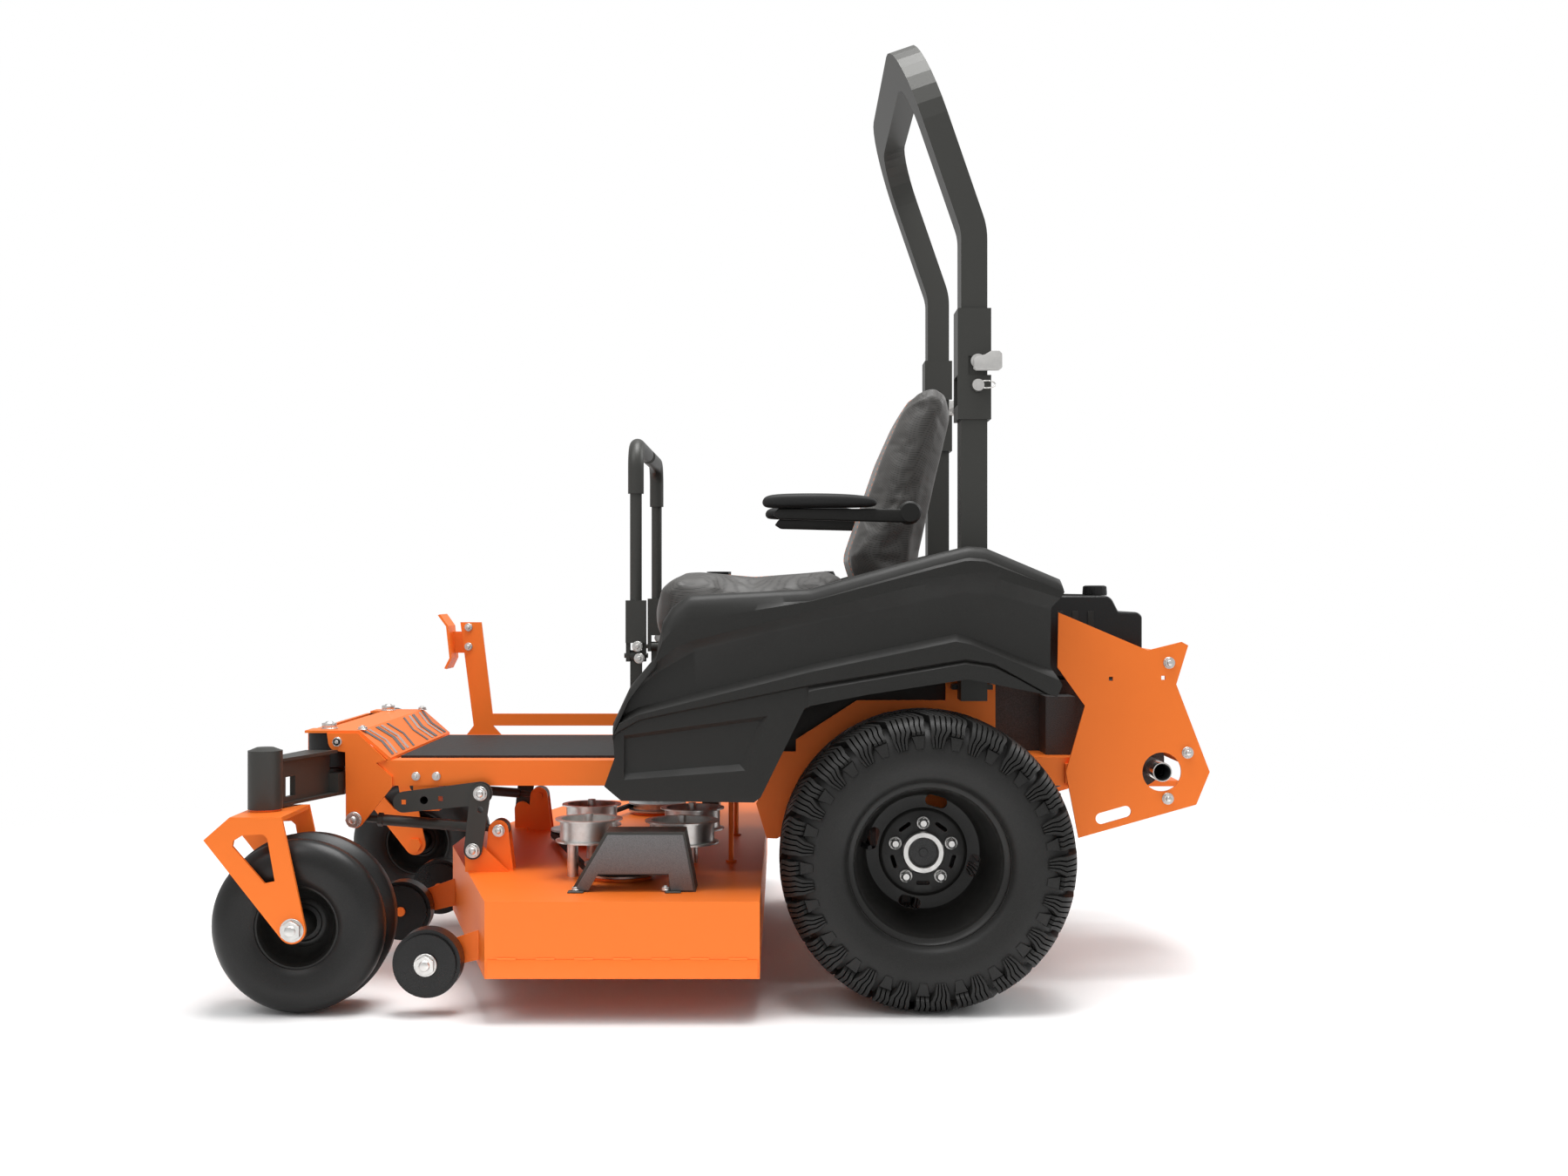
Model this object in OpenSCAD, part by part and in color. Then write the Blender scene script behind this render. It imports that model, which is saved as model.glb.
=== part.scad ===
// Zero turn ride-on mower, built as separate sub-parts in one frame.
// Millimetres. +X points to the rear, -Y is the operator's left, +Z is up.
// Stations along X are measured from a design datum just ahead of the drive axle.

/* [Wheels and stance] */
// Diameter of the drive tyres
drive_tyre_d = 559; // [465:1:680]
// Width of the drive tyres
drive_tyre_w = 280; // [220:1:340]
// Distance between the outer faces of the drive tyres
track_w = 1270; // [1150:1:1530]
// Drive axle to caster axle
wheelbase = 1171; // [1080:1:1420]
// Drive axle behind the datum
axle_x = 270; // [250:1:290]
// Bead seat diameter of the drive rims
rim_d = 305; // [250:1:330]
// Diameter of the caster tyres
caster_tyre_d = 330; // [275:1:350]
// Width of the caster tyres
caster_tyre_w = 165; // [130:1:200]
// Caster wheels to the machine's centre plane
caster_y = 550; // [500:1:660]
// Kingpin ahead of the caster axle
trail = 77; // [60:1:90]

/* [Frame] */
// Outside size of the square rail tube
rail_size = 51; // [40:1:62]
// Wall of the rail tube
rail_wall = 4; // [3:0.5:6]
// Inner face of the drive tyre to the rail
tyre_to_rail = 35.5; // [30:0.5:50]
// Thickness of the frame plates
plate_t = 6; // [4:0.5:8]

/* [Roll bar] */
// Roll bar tube across the machine
rops_w = 76; // [60:1:90]
// Roll bar tube along the machine
rops_d = 51; // [42:1:62]
// Side plate to the roll bar legs
rops_gap = 42.5; // [37:0.5:66]
// Roll bar leg station
rops_x = 370; // [350:1:380]
// Wall of the roll bar tube
rops_wall = 4; // [3:0.5:6]
// Forward lean of the top of the roll bar, degrees
rops_lean = 19; // [10:1:24]

/* [Seat and controls] */
// Width of the seat cushion
seat_w = 500; // [420:1:520]
// Lap bar tube
lever_d = 24; // [18:1:28]
// Lap bar grip
grip_d = 32; // [30:1:40]

/* [Deck] */
// Width of the cutting deck
deck_w = 1560; // [1300:1:1800]
// Deck centre to the right of the machine centre
deck_offset = 100; // [50:1:130]
// Height of the deck's top face
deck_top = 223; // [205:1:235]
// Depth of the deck's skirt
deck_depth = 140; // [120:1:155]
// Deck plate
deck_t = 5; // [3:0.5:8]
// Diameter of the anti-scalp rollers
roller_d = 126; // [100:1:140]
// Width of an anti-scalp roller
roller_w = 58; // [40:1:70]

/* [Fits] */
// Radial running clearance of pins and shafts
run = 0.05; // [0.03:0.01:0.08]

/* [Hidden] */
$fn = 48;

// Stance: the frame and bodywork are drawn for a 279.5 mm axle height and rise with the axle.
datum_axle_z = 279.5;
axle_z = drive_tyre_d / 2;
lift = axle_z - datum_axle_z;
drive_y = track_w / 2 - drive_tyre_w / 2;
rim_lip = 15;
dish = 55;
hub_bore_r = 16 + run;

caster_r = caster_tyre_d / 2;
caster_x = axle_x - wheelbase;
kingpin_x = caster_x - trail;
kingpin_r = 19;
kingpin_tube_r = 32;
kingpin_low = 376 + lift;
kingpin_high = 486 + lift;
fork_top = kingpin_low - 4;
fork_gap = 9;
fork_t = 8;
fork_in = caster_tyre_w / 2 + fork_gap;
caster_axle_r = 12.5;

rail_out = track_w / 2 - drive_tyre_w - tyre_to_rail;
rail_in = rail_out - rail_size;
rail_high = 445;
rail_low = rail_high - rail_size;
cross_low = 394;
rail_front = kingpin_x + 160;
rail_rear = 620;

// Front axle: arms swing on pins along X, behind a front plate and ahead of a rear plate.
front_plate_x = kingpin_x + 4;
back_plate_x = kingpin_x + 149;
pivot_y = rail_out - 89.5;
pivot_z = 400;
pivot_r = 12.5;
iso_x = kingpin_x + 51;
iso_y = rail_out - 46.5;
iso_r = 41;
top_plate_z = 500;
ear_x = kingpin_x + 115;
ear_z = 327;

side_plate_y = rail_out + plate_t;
guard_y = rail_out + 12.5 + plate_t;

rops_y = side_plate_y + rops_gap + rops_w / 2;
rops_low = datum_axle_z + axle_z + 13;
rops_pin_x = rops_x + 6;
rops_pin_z = 1185;
rops_latch_z = 1232;
rops_pin_r = 8;
rops_bend_z = 1470;
rops_bend_r = 120;
rops_corner_r = 148;
rops_upper = 362;
rops_cheek = 4;

lever_y = seat_w / 2 + 47;
lever_x = -300;
lever_pivot_z = 560;
lever_swing_z = 655;
lever_top_z = 1082;
lever_pin_r = 8;

body_in = max(lever_y + 33, side_plate_y + 4.5);
body_out = track_w / 2 - 55;
fender_t = 6;
tyre_to_fender = 50;

seat_hinge_x = -236;
seat_hinge_z = 652;
seat_box_y = seat_w / 2 + 50;
armrest_x = 255;
armrest_z = 945;

deck_left = deck_offset - deck_w / 2;
deck_right = deck_offset + deck_w / 2;
deck_rear = axle_x - drive_tyre_d / 2 - 34.5;
deck_front = kingpin_x + 247;
deck_side_front = deck_front + 188;
deck_low = deck_top - deck_depth;
deck_nose = 71;
spindle_side_x = deck_rear - 276;
spindle_mid_x = spindle_side_x - 131;
spindle_span = deck_w / 2 - 275;
blade_gap = 8;
spindle_inset = 275;
front_slope = (deck_side_front - deck_front) / (deck_w / 2 - deck_nose);
front_room = (spindle_side_x - deck_side_front + front_slope * spindle_inset) * cos(atan(front_slope));
blade_r = min((norm([spindle_side_x - spindle_mid_x, spindle_span]) - blade_gap) / 2,
    min(spindle_inset, front_room) - deck_t - blade_gap);
spindle_r = 12.5;
pulley_r = 72;
belt_z = deck_top + 14;
chute_reach = 270;
hinge_y = deck_right + 10;

hang_x = deck_front + 124;
hang_z = 381;
crank_x = hang_x - 114;
crank_z = 367;
crank_r = 12.5;
crank_y = side_plate_y + 14.5;
deck_ear_z = deck_top + 44;
clevis_x = deck_front + 156;
clevis_z = deck_top + 81.5;
rod_y = rail_out - 19.5;
rod_pin_r = 8;
rod_slack = 4.8;

pedal_pivot_x = -330;
pedal_pivot_z = 484;
pedal_y = rail_out - 54;
knob_x = -155;
knob_y = body_in + 20;

// The part's origin is on the ground under the middle of its box.
x_front = caster_x - caster_r;
x_rear = 853;
mid = [(x_front + x_rear) / 2, (deck_left + deck_right + chute_reach) / 2, 0];

// ---------- shared shapes ----------

module place() { translate(-mid) children(); }
module on_frame() { place() translate([0, 0, lift]) children(); }
module right_side() { mirror([0, 1, 0]) children(); }
module both() {
    children();
    right_side() children();
}
module side_sheet(points, y, t) {
    translate([0, y + t, 0]) rotate([90, 0, 0]) linear_extrude(t) polygon(points);
}
module bar_y(x, y, z, r, len) { translate([x, y, z]) rotate([-90, 0, 0]) cylinder(r=r, h=len); }
module bar_x(x, y, z, r, len) { translate([x, y, z]) rotate([0, 90, 0]) cylinder(r=r, h=len); }
module block(low, high) { translate(low) cube(high - low); }
module hex_head(r, h) { cylinder(r=r, h=h, $fn=6); }
module hex_y(x, y, z, r, h) { translate([x, y, z]) rotate([90, 0, 0]) hex_head(r, h); }
function round_end(x, z, r, from, to, steps=10) =
    [for (i = [0:steps]) [x + r * cos(from + (to - from) * i / steps),
        z + r * sin(from + (to - from) * i / steps)]];
// Flat link with two round ends, in the XZ plane.
module link_xz(a, b, ra, rb, y, t) {
    along = atan2(b[1] - a[1], b[0] - a[0]);
    points = concat(round_end(a[0], a[1], ra, along + 90, along + 270),
        round_end(b[0], b[1], rb, along - 90, along + 90));
    side_sheet(points, y, t);
}

// ---------- frame ----------

module frame_rails() {
    color("orangered") on_frame() both() difference() {
        block([rail_front, -rail_out, rail_low], [rail_rear, -rail_in, rail_high]);
        block([rail_front - 1, -rail_out + rail_wall, rail_low + rail_wall],
            [rail_rear + 1, -rail_in - rail_wall, rail_high - rail_wall]);
    }
}

module bearing_block() {
    difference() {
        block([crank_x - 26, -rail_out + 1, crank_z - 24], [crank_x + 26, -rail_in - 1, rail_low]);
        bar_y(crank_x, -rail_out, crank_z, crank_r + run, rail_size);
    }
}

module frame_crossmembers() {
    color("orangered") on_frame() {
        difference() {
            union() {
                block([front_plate_x, -iso_y + 13, 374],
                    [front_plate_x + plate_t + 2, iso_y - 13, top_plate_z]);
                block([back_plate_x, -rail_out + 1, 374], [back_plate_x + plate_t + 2, rail_out - 1, 460]);
            }
            both() bar_x(front_plate_x - 2, -pivot_y, pivot_z, pivot_r + 0.2, 170);
        }
        both() {
            bar_x(front_plate_x - 0.1, -pivot_y, pivot_z, pivot_r,
                back_plate_x - front_plate_x + plate_t + 2.2);
            translate([front_plate_x - 0.1, -pivot_y, pivot_z]) rotate([0, -90, 0]) hex_head(18, 9);
            bearing_block();
            block([565, -guard_y + plate_t, rail_low + 6], [615, -rail_out, rail_high - 6]);
        }
        block([-120, -rail_in, cross_low], [-70, rail_in, cross_low + 40]);
        block([565, -rail_in, cross_low], [615, rail_in, cross_low + 44]);
        difference() {
            block([380, -rail_out, rail_high], [rail_rear + 20, rail_out, rail_high + plate_t]);
            translate([540, 0, rail_high - 1]) cylinder(r=20, h=plate_t + 2);
        }
    }
}

module frame_side_plates() {
    color("orangered") on_frame() {
        both() side_sheet([[-56, 359], [-3, 463], [24, 463], [24, 487], [147, 566], [325, 566],
            [325, 655], [425, 655],
            [425, 335], [60, 335], [-14, 288], [-35, 289]], -side_plate_y, plate_t);
        both() side_sheet(concat([[kingpin_x + 59, top_plate_z],
            [kingpin_x + 62, 478]], round_end(kingpin_x + 80, 482, 18, 190, 270),
            [[kingpin_x + 96, 462], [kingpin_x + 97, 383]], round_end(ear_x, ear_z, 18, 180, 325),
            [[kingpin_x + 190, 392], [kingpin_x + 190, 412], [kingpin_x + 158, 440], [kingpin_x + 178, 446],
            [kingpin_x + 121, top_plate_z]]), -side_plate_y, plate_t);
        both() bar_y(ear_x, -side_plate_y - 8, ear_z, rod_pin_r, 44);
    }
}

module toe_board() {
    ear = 66;
    half = rail_out + 0.5;
    color("darkorange") on_frame() {
        difference() {
            block([kingpin_x + 13, -half, top_plate_z], [kingpin_x + 121, half, top_plate_z + 5]);
            block([kingpin_x + 10, -half + ear, top_plate_z - 1],
                [kingpin_x + 43, half - ear, top_plate_z + 6]);
            both() translate([iso_x, -iso_y, top_plate_z - 1]) cylinder(r=8.5, h=7);
        }
        side_sheet([[kingpin_x + 121, top_plate_z], [kingpin_x + 121, top_plate_z + 5],
            [kingpin_x + 123, top_plate_z + 5],
            [kingpin_x + 186, rail_high + 5], [kingpin_x + 186, rail_high],
                [kingpin_x + 180, rail_high + 0.5]], -half, 2 * half);
    }
}

module floor_pan() {
    color("orangered") on_frame() {
        block([kingpin_x + 188, -rail_in, rail_high - 5], [-262, rail_in, rail_high - 1]);
    }
}

module floor_mat() {
    color("dimgray") on_frame() block([kingpin_x + 194, -rail_in + 10, rail_high - 1], [-270, rail_in - 10, rail_high + 4]);
}

module axle_isolators() {
    color("dimgray") on_frame() both() difference() {
        translate([iso_x, -iso_y, 430]) cylinder(r=iso_r, h=top_plate_z - 430);
        translate([iso_x, -iso_y, 429]) cylinder(r=8.5, h=top_plate_z - 428);
    }
}

module frame_bolts() {
    color("silver") on_frame() both() {
        translate([iso_x, -iso_y, top_plate_z + 5]) hex_head(14, 11);
        translate([iso_x, -iso_y, 440]) cylinder(r=8, h=top_plate_z - 435);
        hex_y(kingpin_x + 80, -side_plate_y, 482, 9, 6);
        hex_y(ear_x, -side_plate_y - 8, ear_z, 15, 10);
        for (at = [[771.5, 642], [808.7, 462], [769, 370]]) hex_y(at[0], -guard_y, at[1], 10, 7);
    }
}

// ---------- bodywork ----------

fender_outline = [[-181, 778], [50, 790], [281, 855], [346, 871], [379, 868], [521, 808], [527, 784],
    [503, 755],
    [501, 645], [522, 610], [512, 588], [346, 621], [156, 592], [50, 571], [38, 565], [-44, 399], [-56, 390],
    [-305, 393], [-337, 420], [-318, 473], [-323, 535], [-290, 606], [-240, 665], [-230, 726], [-211, 756]];

module fender_shell() {
    difference() {
        side_sheet(fender_outline, -body_out, body_out - body_in);
        translate([0, -body_in + 1, 0]) rotate([90, 0, 0]) linear_extrude(body_out - body_in + 1 - fender_t)
            offset(delta=-fender_t) polygon(fender_outline);
        block([rops_x - rops_d / 2 - 14, -rops_y - rops_w / 2 - 12, 500],
            [rops_x + rops_d / 2 + 14, -rops_y + rops_w / 2 + 12, 900]);
        bar_y(axle_x, -body_out - 1, datum_axle_z, drive_tyre_d / 2 + tyre_to_fender, body_out - body_in + 2);
        block([40, -body_out + fender_t, 540], [500, -body_in + 1, 640]);
        side_sheet([[-290, 350], [-60, 350], [20, 530],
            [-270, 530]], -body_out + fender_t, body_out - body_in);
    }
}

module fender_left() { color("dimgray") on_frame() fender_shell(); }

module fender_right() {
    color("dimgray") on_frame() {
        right_side() fender_shell();
        translate([knob_x, knob_y, 770]) cylinder(r=6, h=46);
        for (x = [-12, 107]) translate([x, knob_y, x < 0 ? 786 : 802]) {
            cylinder(r=12, h=20);
            translate([0, 0, 20]) cylinder(r1=16, r2=11, h=10);
        }
    }
}

module seat_deck() {
    color("dimgray") on_frame() {
        difference() {
            block([-255, -seat_box_y, rail_high], [330, seat_box_y, 640]);
            block([-251, -seat_box_y + 4, rail_high - 1], [326, seat_box_y - 4, 636]);
        }
        both() difference() {
            union() {
                block([seat_hinge_x - 10, -112, 640], [seat_hinge_x + 10, -104, seat_hinge_z]);
                bar_y(seat_hinge_x, -112, seat_hinge_z, 10, 8);
            }
            bar_y(seat_hinge_x, -113, seat_hinge_z, 6.2, 10);
        }
        bar_y(seat_hinge_x, -116, seat_hinge_z, 6, 232);
        both() {
            block([-255, -body_in - 1, 585], [-225, -seat_box_y, 615]);
            difference() {
                block([lever_x - 16, -lever_y + 36, lever_pivot_z - 18],
                    [-255, -lever_y + 44, lever_pivot_z + 18]);
                bar_y(lever_x, -lever_y + 35, lever_pivot_z, lever_pin_r + 0.2, 10);
            }
            bar_y(lever_x, -lever_y - 33, lever_pivot_z, lever_pin_r, 80);
        }
    }
}

// ---------- engine, drive and rear guard ----------

module engine_block() {
    top = rail_high + plate_t;
    color("gray") on_frame() {
        block([430, -170, top], [665, 170, 600]);
        both() {
            translate([640, -40, 560]) rotate([0, 0, -38]) block([0, -52, -52], [95, 52, 40]);
            block([535, -265, top], [595, -171, 570]);
        }
        translate([540, 0, 600]) cylinder(r=120, h=120);
        translate([540, 0, 330]) cylinder(r=12.5, h=top - 330);
    }
}

shroud_outline = [[400, 604], [400, 748], [430, 774], [552, 778], [681, 778], [700, 744], [742, 744],
    [749, 736], [749, 655], [735, 640], [735, 604]];

module engine_shroud() {
    color("dimgray") on_frame() {
        difference() {
            side_sheet(shroud_outline, -195, 390);
            translate([0, 191, 0]) rotate([90, 0,
                0]) linear_extrude(382) offset(delta=-4) polygon(shroud_outline);
            block([404, -191, 600], [731, 191, 616]);
        }
        translate([660, -120, 778]) cylinder(r=26, h=20);
    }
}

module muffler() {
    color("silver") on_frame() {
        bar_y(735, -190, 434, 58, 380);
        difference() {
            bar_y(757, -guard_y - 4, 423.5, 19, guard_y - 186);
            bar_y(757, -guard_y - 5, 423.5, 16, guard_y - 200);
        }
    }
}

module guard_plates() {
    outline = [[550, 743], [729, 667], [797, 684], [810, 677], [786, 599], [x_rear, 423.5], [826, 358],
        [590, 291],
        [565, 423], [603, 556], [548, 633]];
    color("orangered") on_frame() both() difference() {
        side_sheet(outline, -guard_y, plate_t);
        bar_y(757, -guard_y - 1, 423.5, 39, plate_t + 2);
        for (at = [[655, 610], [760, 612]]) block([at[0] - 4, -guard_y - 1, at[1] - 4],
            [at[0] + 4, -guard_y + 8, at[1] + 4]);
        translate([660, 0, 337]) rotate([0, -16, 0]) {
            for (x = [-25, 25]) bar_y(x, -guard_y - 1, 0, 11.5, plate_t + 2);
            block([-25, -guard_y - 1, -11.5], [25, -guard_y + plate_t + 1, 11.5]);
        }
    }
}

hitch_x = 836;
hitch_r = 10;

module guard_bumper() {
    half = guard_y - plate_t;
    color("orangered") on_frame() {
        difference() {
            block([752, -half, 622], [790, half, 660]);
            block([758, -half + plate_t, 616], [796, half - plate_t, 654]);
        }
        difference() {
            union() {
                block([798, -half, 440], [820, half, 484]);
                both() block([765, -half, 484], [787, -half + plate_t, 622]);
                both() block([798, -half, 355], [812, -half + plate_t, 440]);
            }
            block([790, -half + plate_t, 446], [814, half - plate_t, 478]);
        }
        block([752, -half, 352], [758, half, 374]);
        difference() {
            block([757, -60, 364], [x_rear - 1, 60, 376]);
            translate([hitch_x, 0, 360]) cylinder(r=hitch_r, h=20);
        }
    }
}

module transaxles() {
    hub_face = drive_y - dish - 6 - 12;
    color("gray") place() both() {
        block([axle_x - 75, -rail_out + 1, axle_z - 70], [axle_x + 80, -120, min(axle_z + 108, rail_low + lift - 6)]);
        block([axle_x - 60, -118, axle_z - 40], [axle_x + 60, -82, axle_z + 60]);
        bar_y(axle_x, -hub_face + 3, axle_z, 36, hub_face - rail_out - 2);
        bar_y(axle_x, -hub_face - 26, axle_z, 16, 28);
    }
}

// ---------- roll bar ----------

module rops_sleeve() {
    x0 = rops_x - rops_d / 2 - 7;
    x1 = rops_x + rops_d / 2 + 7;
    inner = rops_w / 2 + 0.4;
    difference() {
        union() {
            for (side = [-1, 1]) translate([0, -rops_y + side * (inner + rops_cheek / 2), 0])
                block([x0, -rops_cheek / 2, 1120], [x1, rops_cheek / 2, 1336]);
            block([x0, -rops_y - inner, 1206], [x0 + 5, -rops_y + inner, 1336]);
            block([x0, -rops_y - inner, 1120], [x1, -rops_y + inner, 1148]);
        }
        block([rops_pin_x - 18, -rops_y - inner - 9, rops_latch_z - 26],
            [x1 + 1, -rops_y + inner + 9, rops_latch_z + 11]);
    }
}

module rops_posts() {
    color("dimgray") on_frame() both() {
        difference() {
            block([rops_x - rops_d / 2, -rops_y - rops_w / 2, rops_low],
                [rops_x + rops_d / 2, -rops_y + rops_w / 2, 1148]);
            block([rops_x - rops_d / 2 + rops_wall, -rops_y - rops_w / 2 + rops_wall, rops_low - 1],
                [rops_x + rops_d / 2 - rops_wall, -rops_y + rops_w / 2 - rops_wall, 1144]);
        }
        rops_sleeve();
        for (z = [rops_low + 18, rops_low + 68])
            block([335, -rops_y + rops_w / 2, z], [415, -side_plate_y, z + 10]);
        bar_y(rops_pin_x, -rops_y - rops_w / 2 - 12, rops_pin_z, rops_pin_r, rops_w + 24);
    }
}

// One leg of the hoop seen from the side: upright, then bent forward by the lean.
module hoop_leg() {
    out = rops_bend_r + rops_d / 2;
    in = rops_bend_r - rops_d / 2;
    cx = rops_x - rops_bend_r;
    low = rops_pin_z - 20;
    difference() {
        side_sheet(concat([[rops_x + rops_d / 2, low]], round_end(cx, rops_bend_z, out, 0, rops_lean, 5),
            round_end(cx, rops_bend_z, in, rops_lean, 0, 5), [[rops_x - rops_d / 2, low]]),
                -rops_y - rops_w / 2, rops_w);
        block([rops_x - rops_d / 2 + rops_wall, -rops_y - rops_w / 2 + rops_wall, low - 1],
            [rops_x + rops_d / 2 - rops_wall, -rops_y + rops_w / 2 - rops_wall, rops_bend_z - 10]);
        bar_y(rops_pin_x, -rops_y - rops_w, rops_pin_z, rops_pin_r + run, 2 * rops_w);
        bar_y(rops_pin_x, -rops_y - rops_w, rops_latch_z, rops_pin_r + run, 2 * rops_w);
    }
}

// The upper U of the hoop, drawn flat as (height, across) and leaned forward.
module hoop_top() {
    straight = rops_upper - rops_corner_r;
    reach = rops_y - rops_corner_r;
    r_out = rops_corner_r + rops_w / 2;
    r_in = rops_corner_r - rops_w / 2;
    outline = concat([[0, -rops_y - rops_w / 2]], round_end(straight, -reach, r_out, -90, 0, 9),
        round_end(straight, reach, r_out, 0, 90, 9), [[0, rops_y + rops_w / 2], [0, rops_y - rops_w / 2]],
        round_end(straight, reach, r_in, 90, 0, 7), round_end(straight, -reach, r_in, 0, -90, 7),
        [[0, -rops_y + rops_w / 2]]);
    translate([rops_x - rops_bend_r, 0, rops_bend_z]) rotate([0, -rops_lean,
        0]) translate([rops_bend_r + rops_d / 2, 0, 0])
        rotate([0, -90, 0]) linear_extrude(rops_d) polygon(outline);
}

module rops_hoop() {
    color("dimgray") on_frame() {
        both() hoop_leg();
        hoop_top();
    }
}

module rops_pin() {
    out = rops_w / 2 + rops_cheek + 2;
    bar_y(rops_pin_x, -rops_y - out, rops_latch_z, rops_pin_r, rops_w + 12);
    block([rops_pin_x - 11, -rops_y - out - 18, rops_latch_z - 18],
        [rops_pin_x + 46, -rops_y - out, rops_latch_z + 19]);
}
module rops_pin_left() { color("silver") on_frame() rops_pin(); }
module rops_pin_right() { color("silver") on_frame() right_side() rops_pin(); }

// ---------- front axle ----------

module axle_arm() {
    web_low = 376;
    web_high = 467;
    tube_low = kingpin_low - lift;
    tube_high = kingpin_high - lift;
    root = -side_plate_y - 8;
    flange = -side_plate_y - 5;
    plan = [[kingpin_x - 20, -caster_y + 26], [kingpin_x + 22, -caster_y + 26], [kingpin_x + 84, root],
        [kingpin_x + 92, -iso_y - 42], [kingpin_x + 92, -pivot_y - 10], [kingpin_x + 18, -pivot_y - 10],
        [kingpin_x + 18, root]];
    difference() {
        union() {
            translate([kingpin_x, -caster_y, tube_low]) cylinder(r=kingpin_tube_r, h=tube_high - tube_low);
            translate([0, 0, web_low]) linear_extrude(6) polygon(plan);
            translate([0, 0, web_high - 6]) linear_extrude(6)
                polygon([plan[0], plan[1], [kingpin_x + 82, flange], [kingpin_x + 18, flange]]);
            translate([0, 0, web_low]) linear_extrude(web_high - web_low)
                polygon([[kingpin_x + 10, -caster_y + 26], [kingpin_x + 20, -caster_y + 26],
                    [kingpin_x + 66, flange], [kingpin_x + 54, flange]]);
            translate([0, 0, web_low]) linear_extrude(44)
                polygon([plan[6], plan[2], plan[3], plan[4], plan[5]]);
            bar_x(kingpin_x + 16, -pivot_y, pivot_z, 24, 129);
        }
        translate([kingpin_x, -caster_y, tube_low - 1]) cylinder(r=kingpin_r + run,
            h=tube_high - tube_low + 2);
        bar_x(kingpin_x, -pivot_y, pivot_z, pivot_r + run, 160);
        block([kingpin_x - 10, -caster_y + 48, 392], [kingpin_x + 70, -caster_y + 84, 430]);
        translate([kingpin_x + 30, -pivot_y - 60, web_low - 1]) cube([66, 52, 20]);
    }
    translate([kingpin_x, -caster_y, tube_high]) cylinder(r1=kingpin_tube_r - 1, r2=16, h=6);
    translate([iso_x, -iso_y, 420]) cylinder(r=30, h=6);
}
module axle_arm_left() { color("dimgray") on_frame() axle_arm(); }
module axle_arm_right() { color("dimgray") on_frame() right_side() axle_arm(); }

module fork_leg(y) {
    top = fork_top;
    low = caster_r;
    dx = trail + 85;
    dz = top - 42 - low;
    lean = atan2(dz, dx);
    difference() {
        side_sheet(concat([[kingpin_x - 85, top - 42], [kingpin_x - 37, top], [kingpin_x + 58, top]],
            round_end(caster_x, low, 25, 13, -90 - lean, 12)), y, fork_t);
        side_sheet([[kingpin_x - 32, top - 53], [kingpin_x - 30, top - 43], [kingpin_x - 14, top - 33],
            [kingpin_x + 24, top - 31],
            [kingpin_x + 32, top - 38], [kingpin_x + 46, top - 117],
                [kingpin_x + 27, top - 121]], y - 1, fork_t + 2);
        bar_y(caster_x, y - 1, low, caster_axle_r + 0.2, fork_t + 2);
    }
}

module caster_fork() {
    y_out = caster_y + fork_in + fork_t;
    fork_leg(-y_out);
    fork_leg(-caster_y + fork_in);
    block([kingpin_x - 37, -y_out, fork_top - 8], [kingpin_x + 58, -caster_y + fork_in + fork_t, fork_top]);
    translate([kingpin_x, -caster_y, fork_top]) cylinder(r=28, h=3.5);
    translate([kingpin_x, -caster_y, fork_top - 8]) cylinder(r=kingpin_r, h=kingpin_high - fork_top + 4);
    bar_y(caster_x, -y_out - 4, caster_r, caster_axle_r, 2 * (fork_in + fork_t) + 8);
    hex_y(caster_x, -y_out, caster_r, 17, 12);
    hex_y(caster_x, -caster_y + fork_in + fork_t + 12, caster_r, 17, 12);
}
module caster_fork_left() { color("orangered") place() caster_fork(); }
module caster_fork_right() { color("orangered") place() right_side() caster_fork(); }

module at_caster() { translate([caster_x, -caster_y, caster_r]) rotate([90, 0, 0]) children(); }

caster_rim_r = 76;

module caster_rim() {
    half = caster_tyre_w / 2 - 14;
    at_caster() {
        rotate_extrude() polygon([[caster_rim_r - 5, -half], [caster_rim_r + 6, -half],
            [caster_rim_r + 6, -half + 4], [caster_rim_r, -half + 4],
            [caster_rim_r, half - 4], [caster_rim_r + 6, half - 4], [caster_rim_r + 6, half],
                [caster_rim_r - 5, half]]);
        difference() {
            union() {
                cylinder(r=caster_rim_r - 5, h=8, center=true);
                cylinder(r=26, h=2 * fork_in - 2, center=true);
            }
            cylinder(r=caster_axle_r + run, h=2 * fork_in, center=true);
        }
    }
}
module caster_tyre() {
    w = caster_tyre_w / 2;
    r = caster_r;
    b = caster_rim_r;
    at_caster() rotate_extrude() polygon(concat([[b, -w + 32], [b, -w + 18.1], [b + 6.2, -w + 18.1],
        [b + 12, -w + 4]],
        round_end(r - 42, -w + 42, 42, 250, 330, 5), round_end(r - 160, 0, 160, -13, 13, 6),
        round_end(r - 42, w - 42, 42, 30, 110, 5),
        [[b + 12, w - 4], [b + 6.2, w - 18.1], [b, w - 18.1], [b, w - 32], [b + 18, w - 26], [r - 45, w - 16],
        [r - 16, w - 46], [r - 16, -w + 46], [r - 45, -w + 16], [b + 18, -w + 26]]));
}
module caster_rim_left() { color("dimgray") place() caster_rim(); }
module caster_rim_right() { color("dimgray") place() right_side() caster_rim(); }
module caster_tyre_left() { color("black") place() caster_tyre(); }
module caster_tyre_right() { color("black") place() right_side() caster_tyre(); }

// ---------- drive wheels ----------

module at_drive() { translate([axle_x, -drive_y, axle_z]) rotate([90, 0, 0]) children(); }

lug_pcd = 114;

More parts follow.
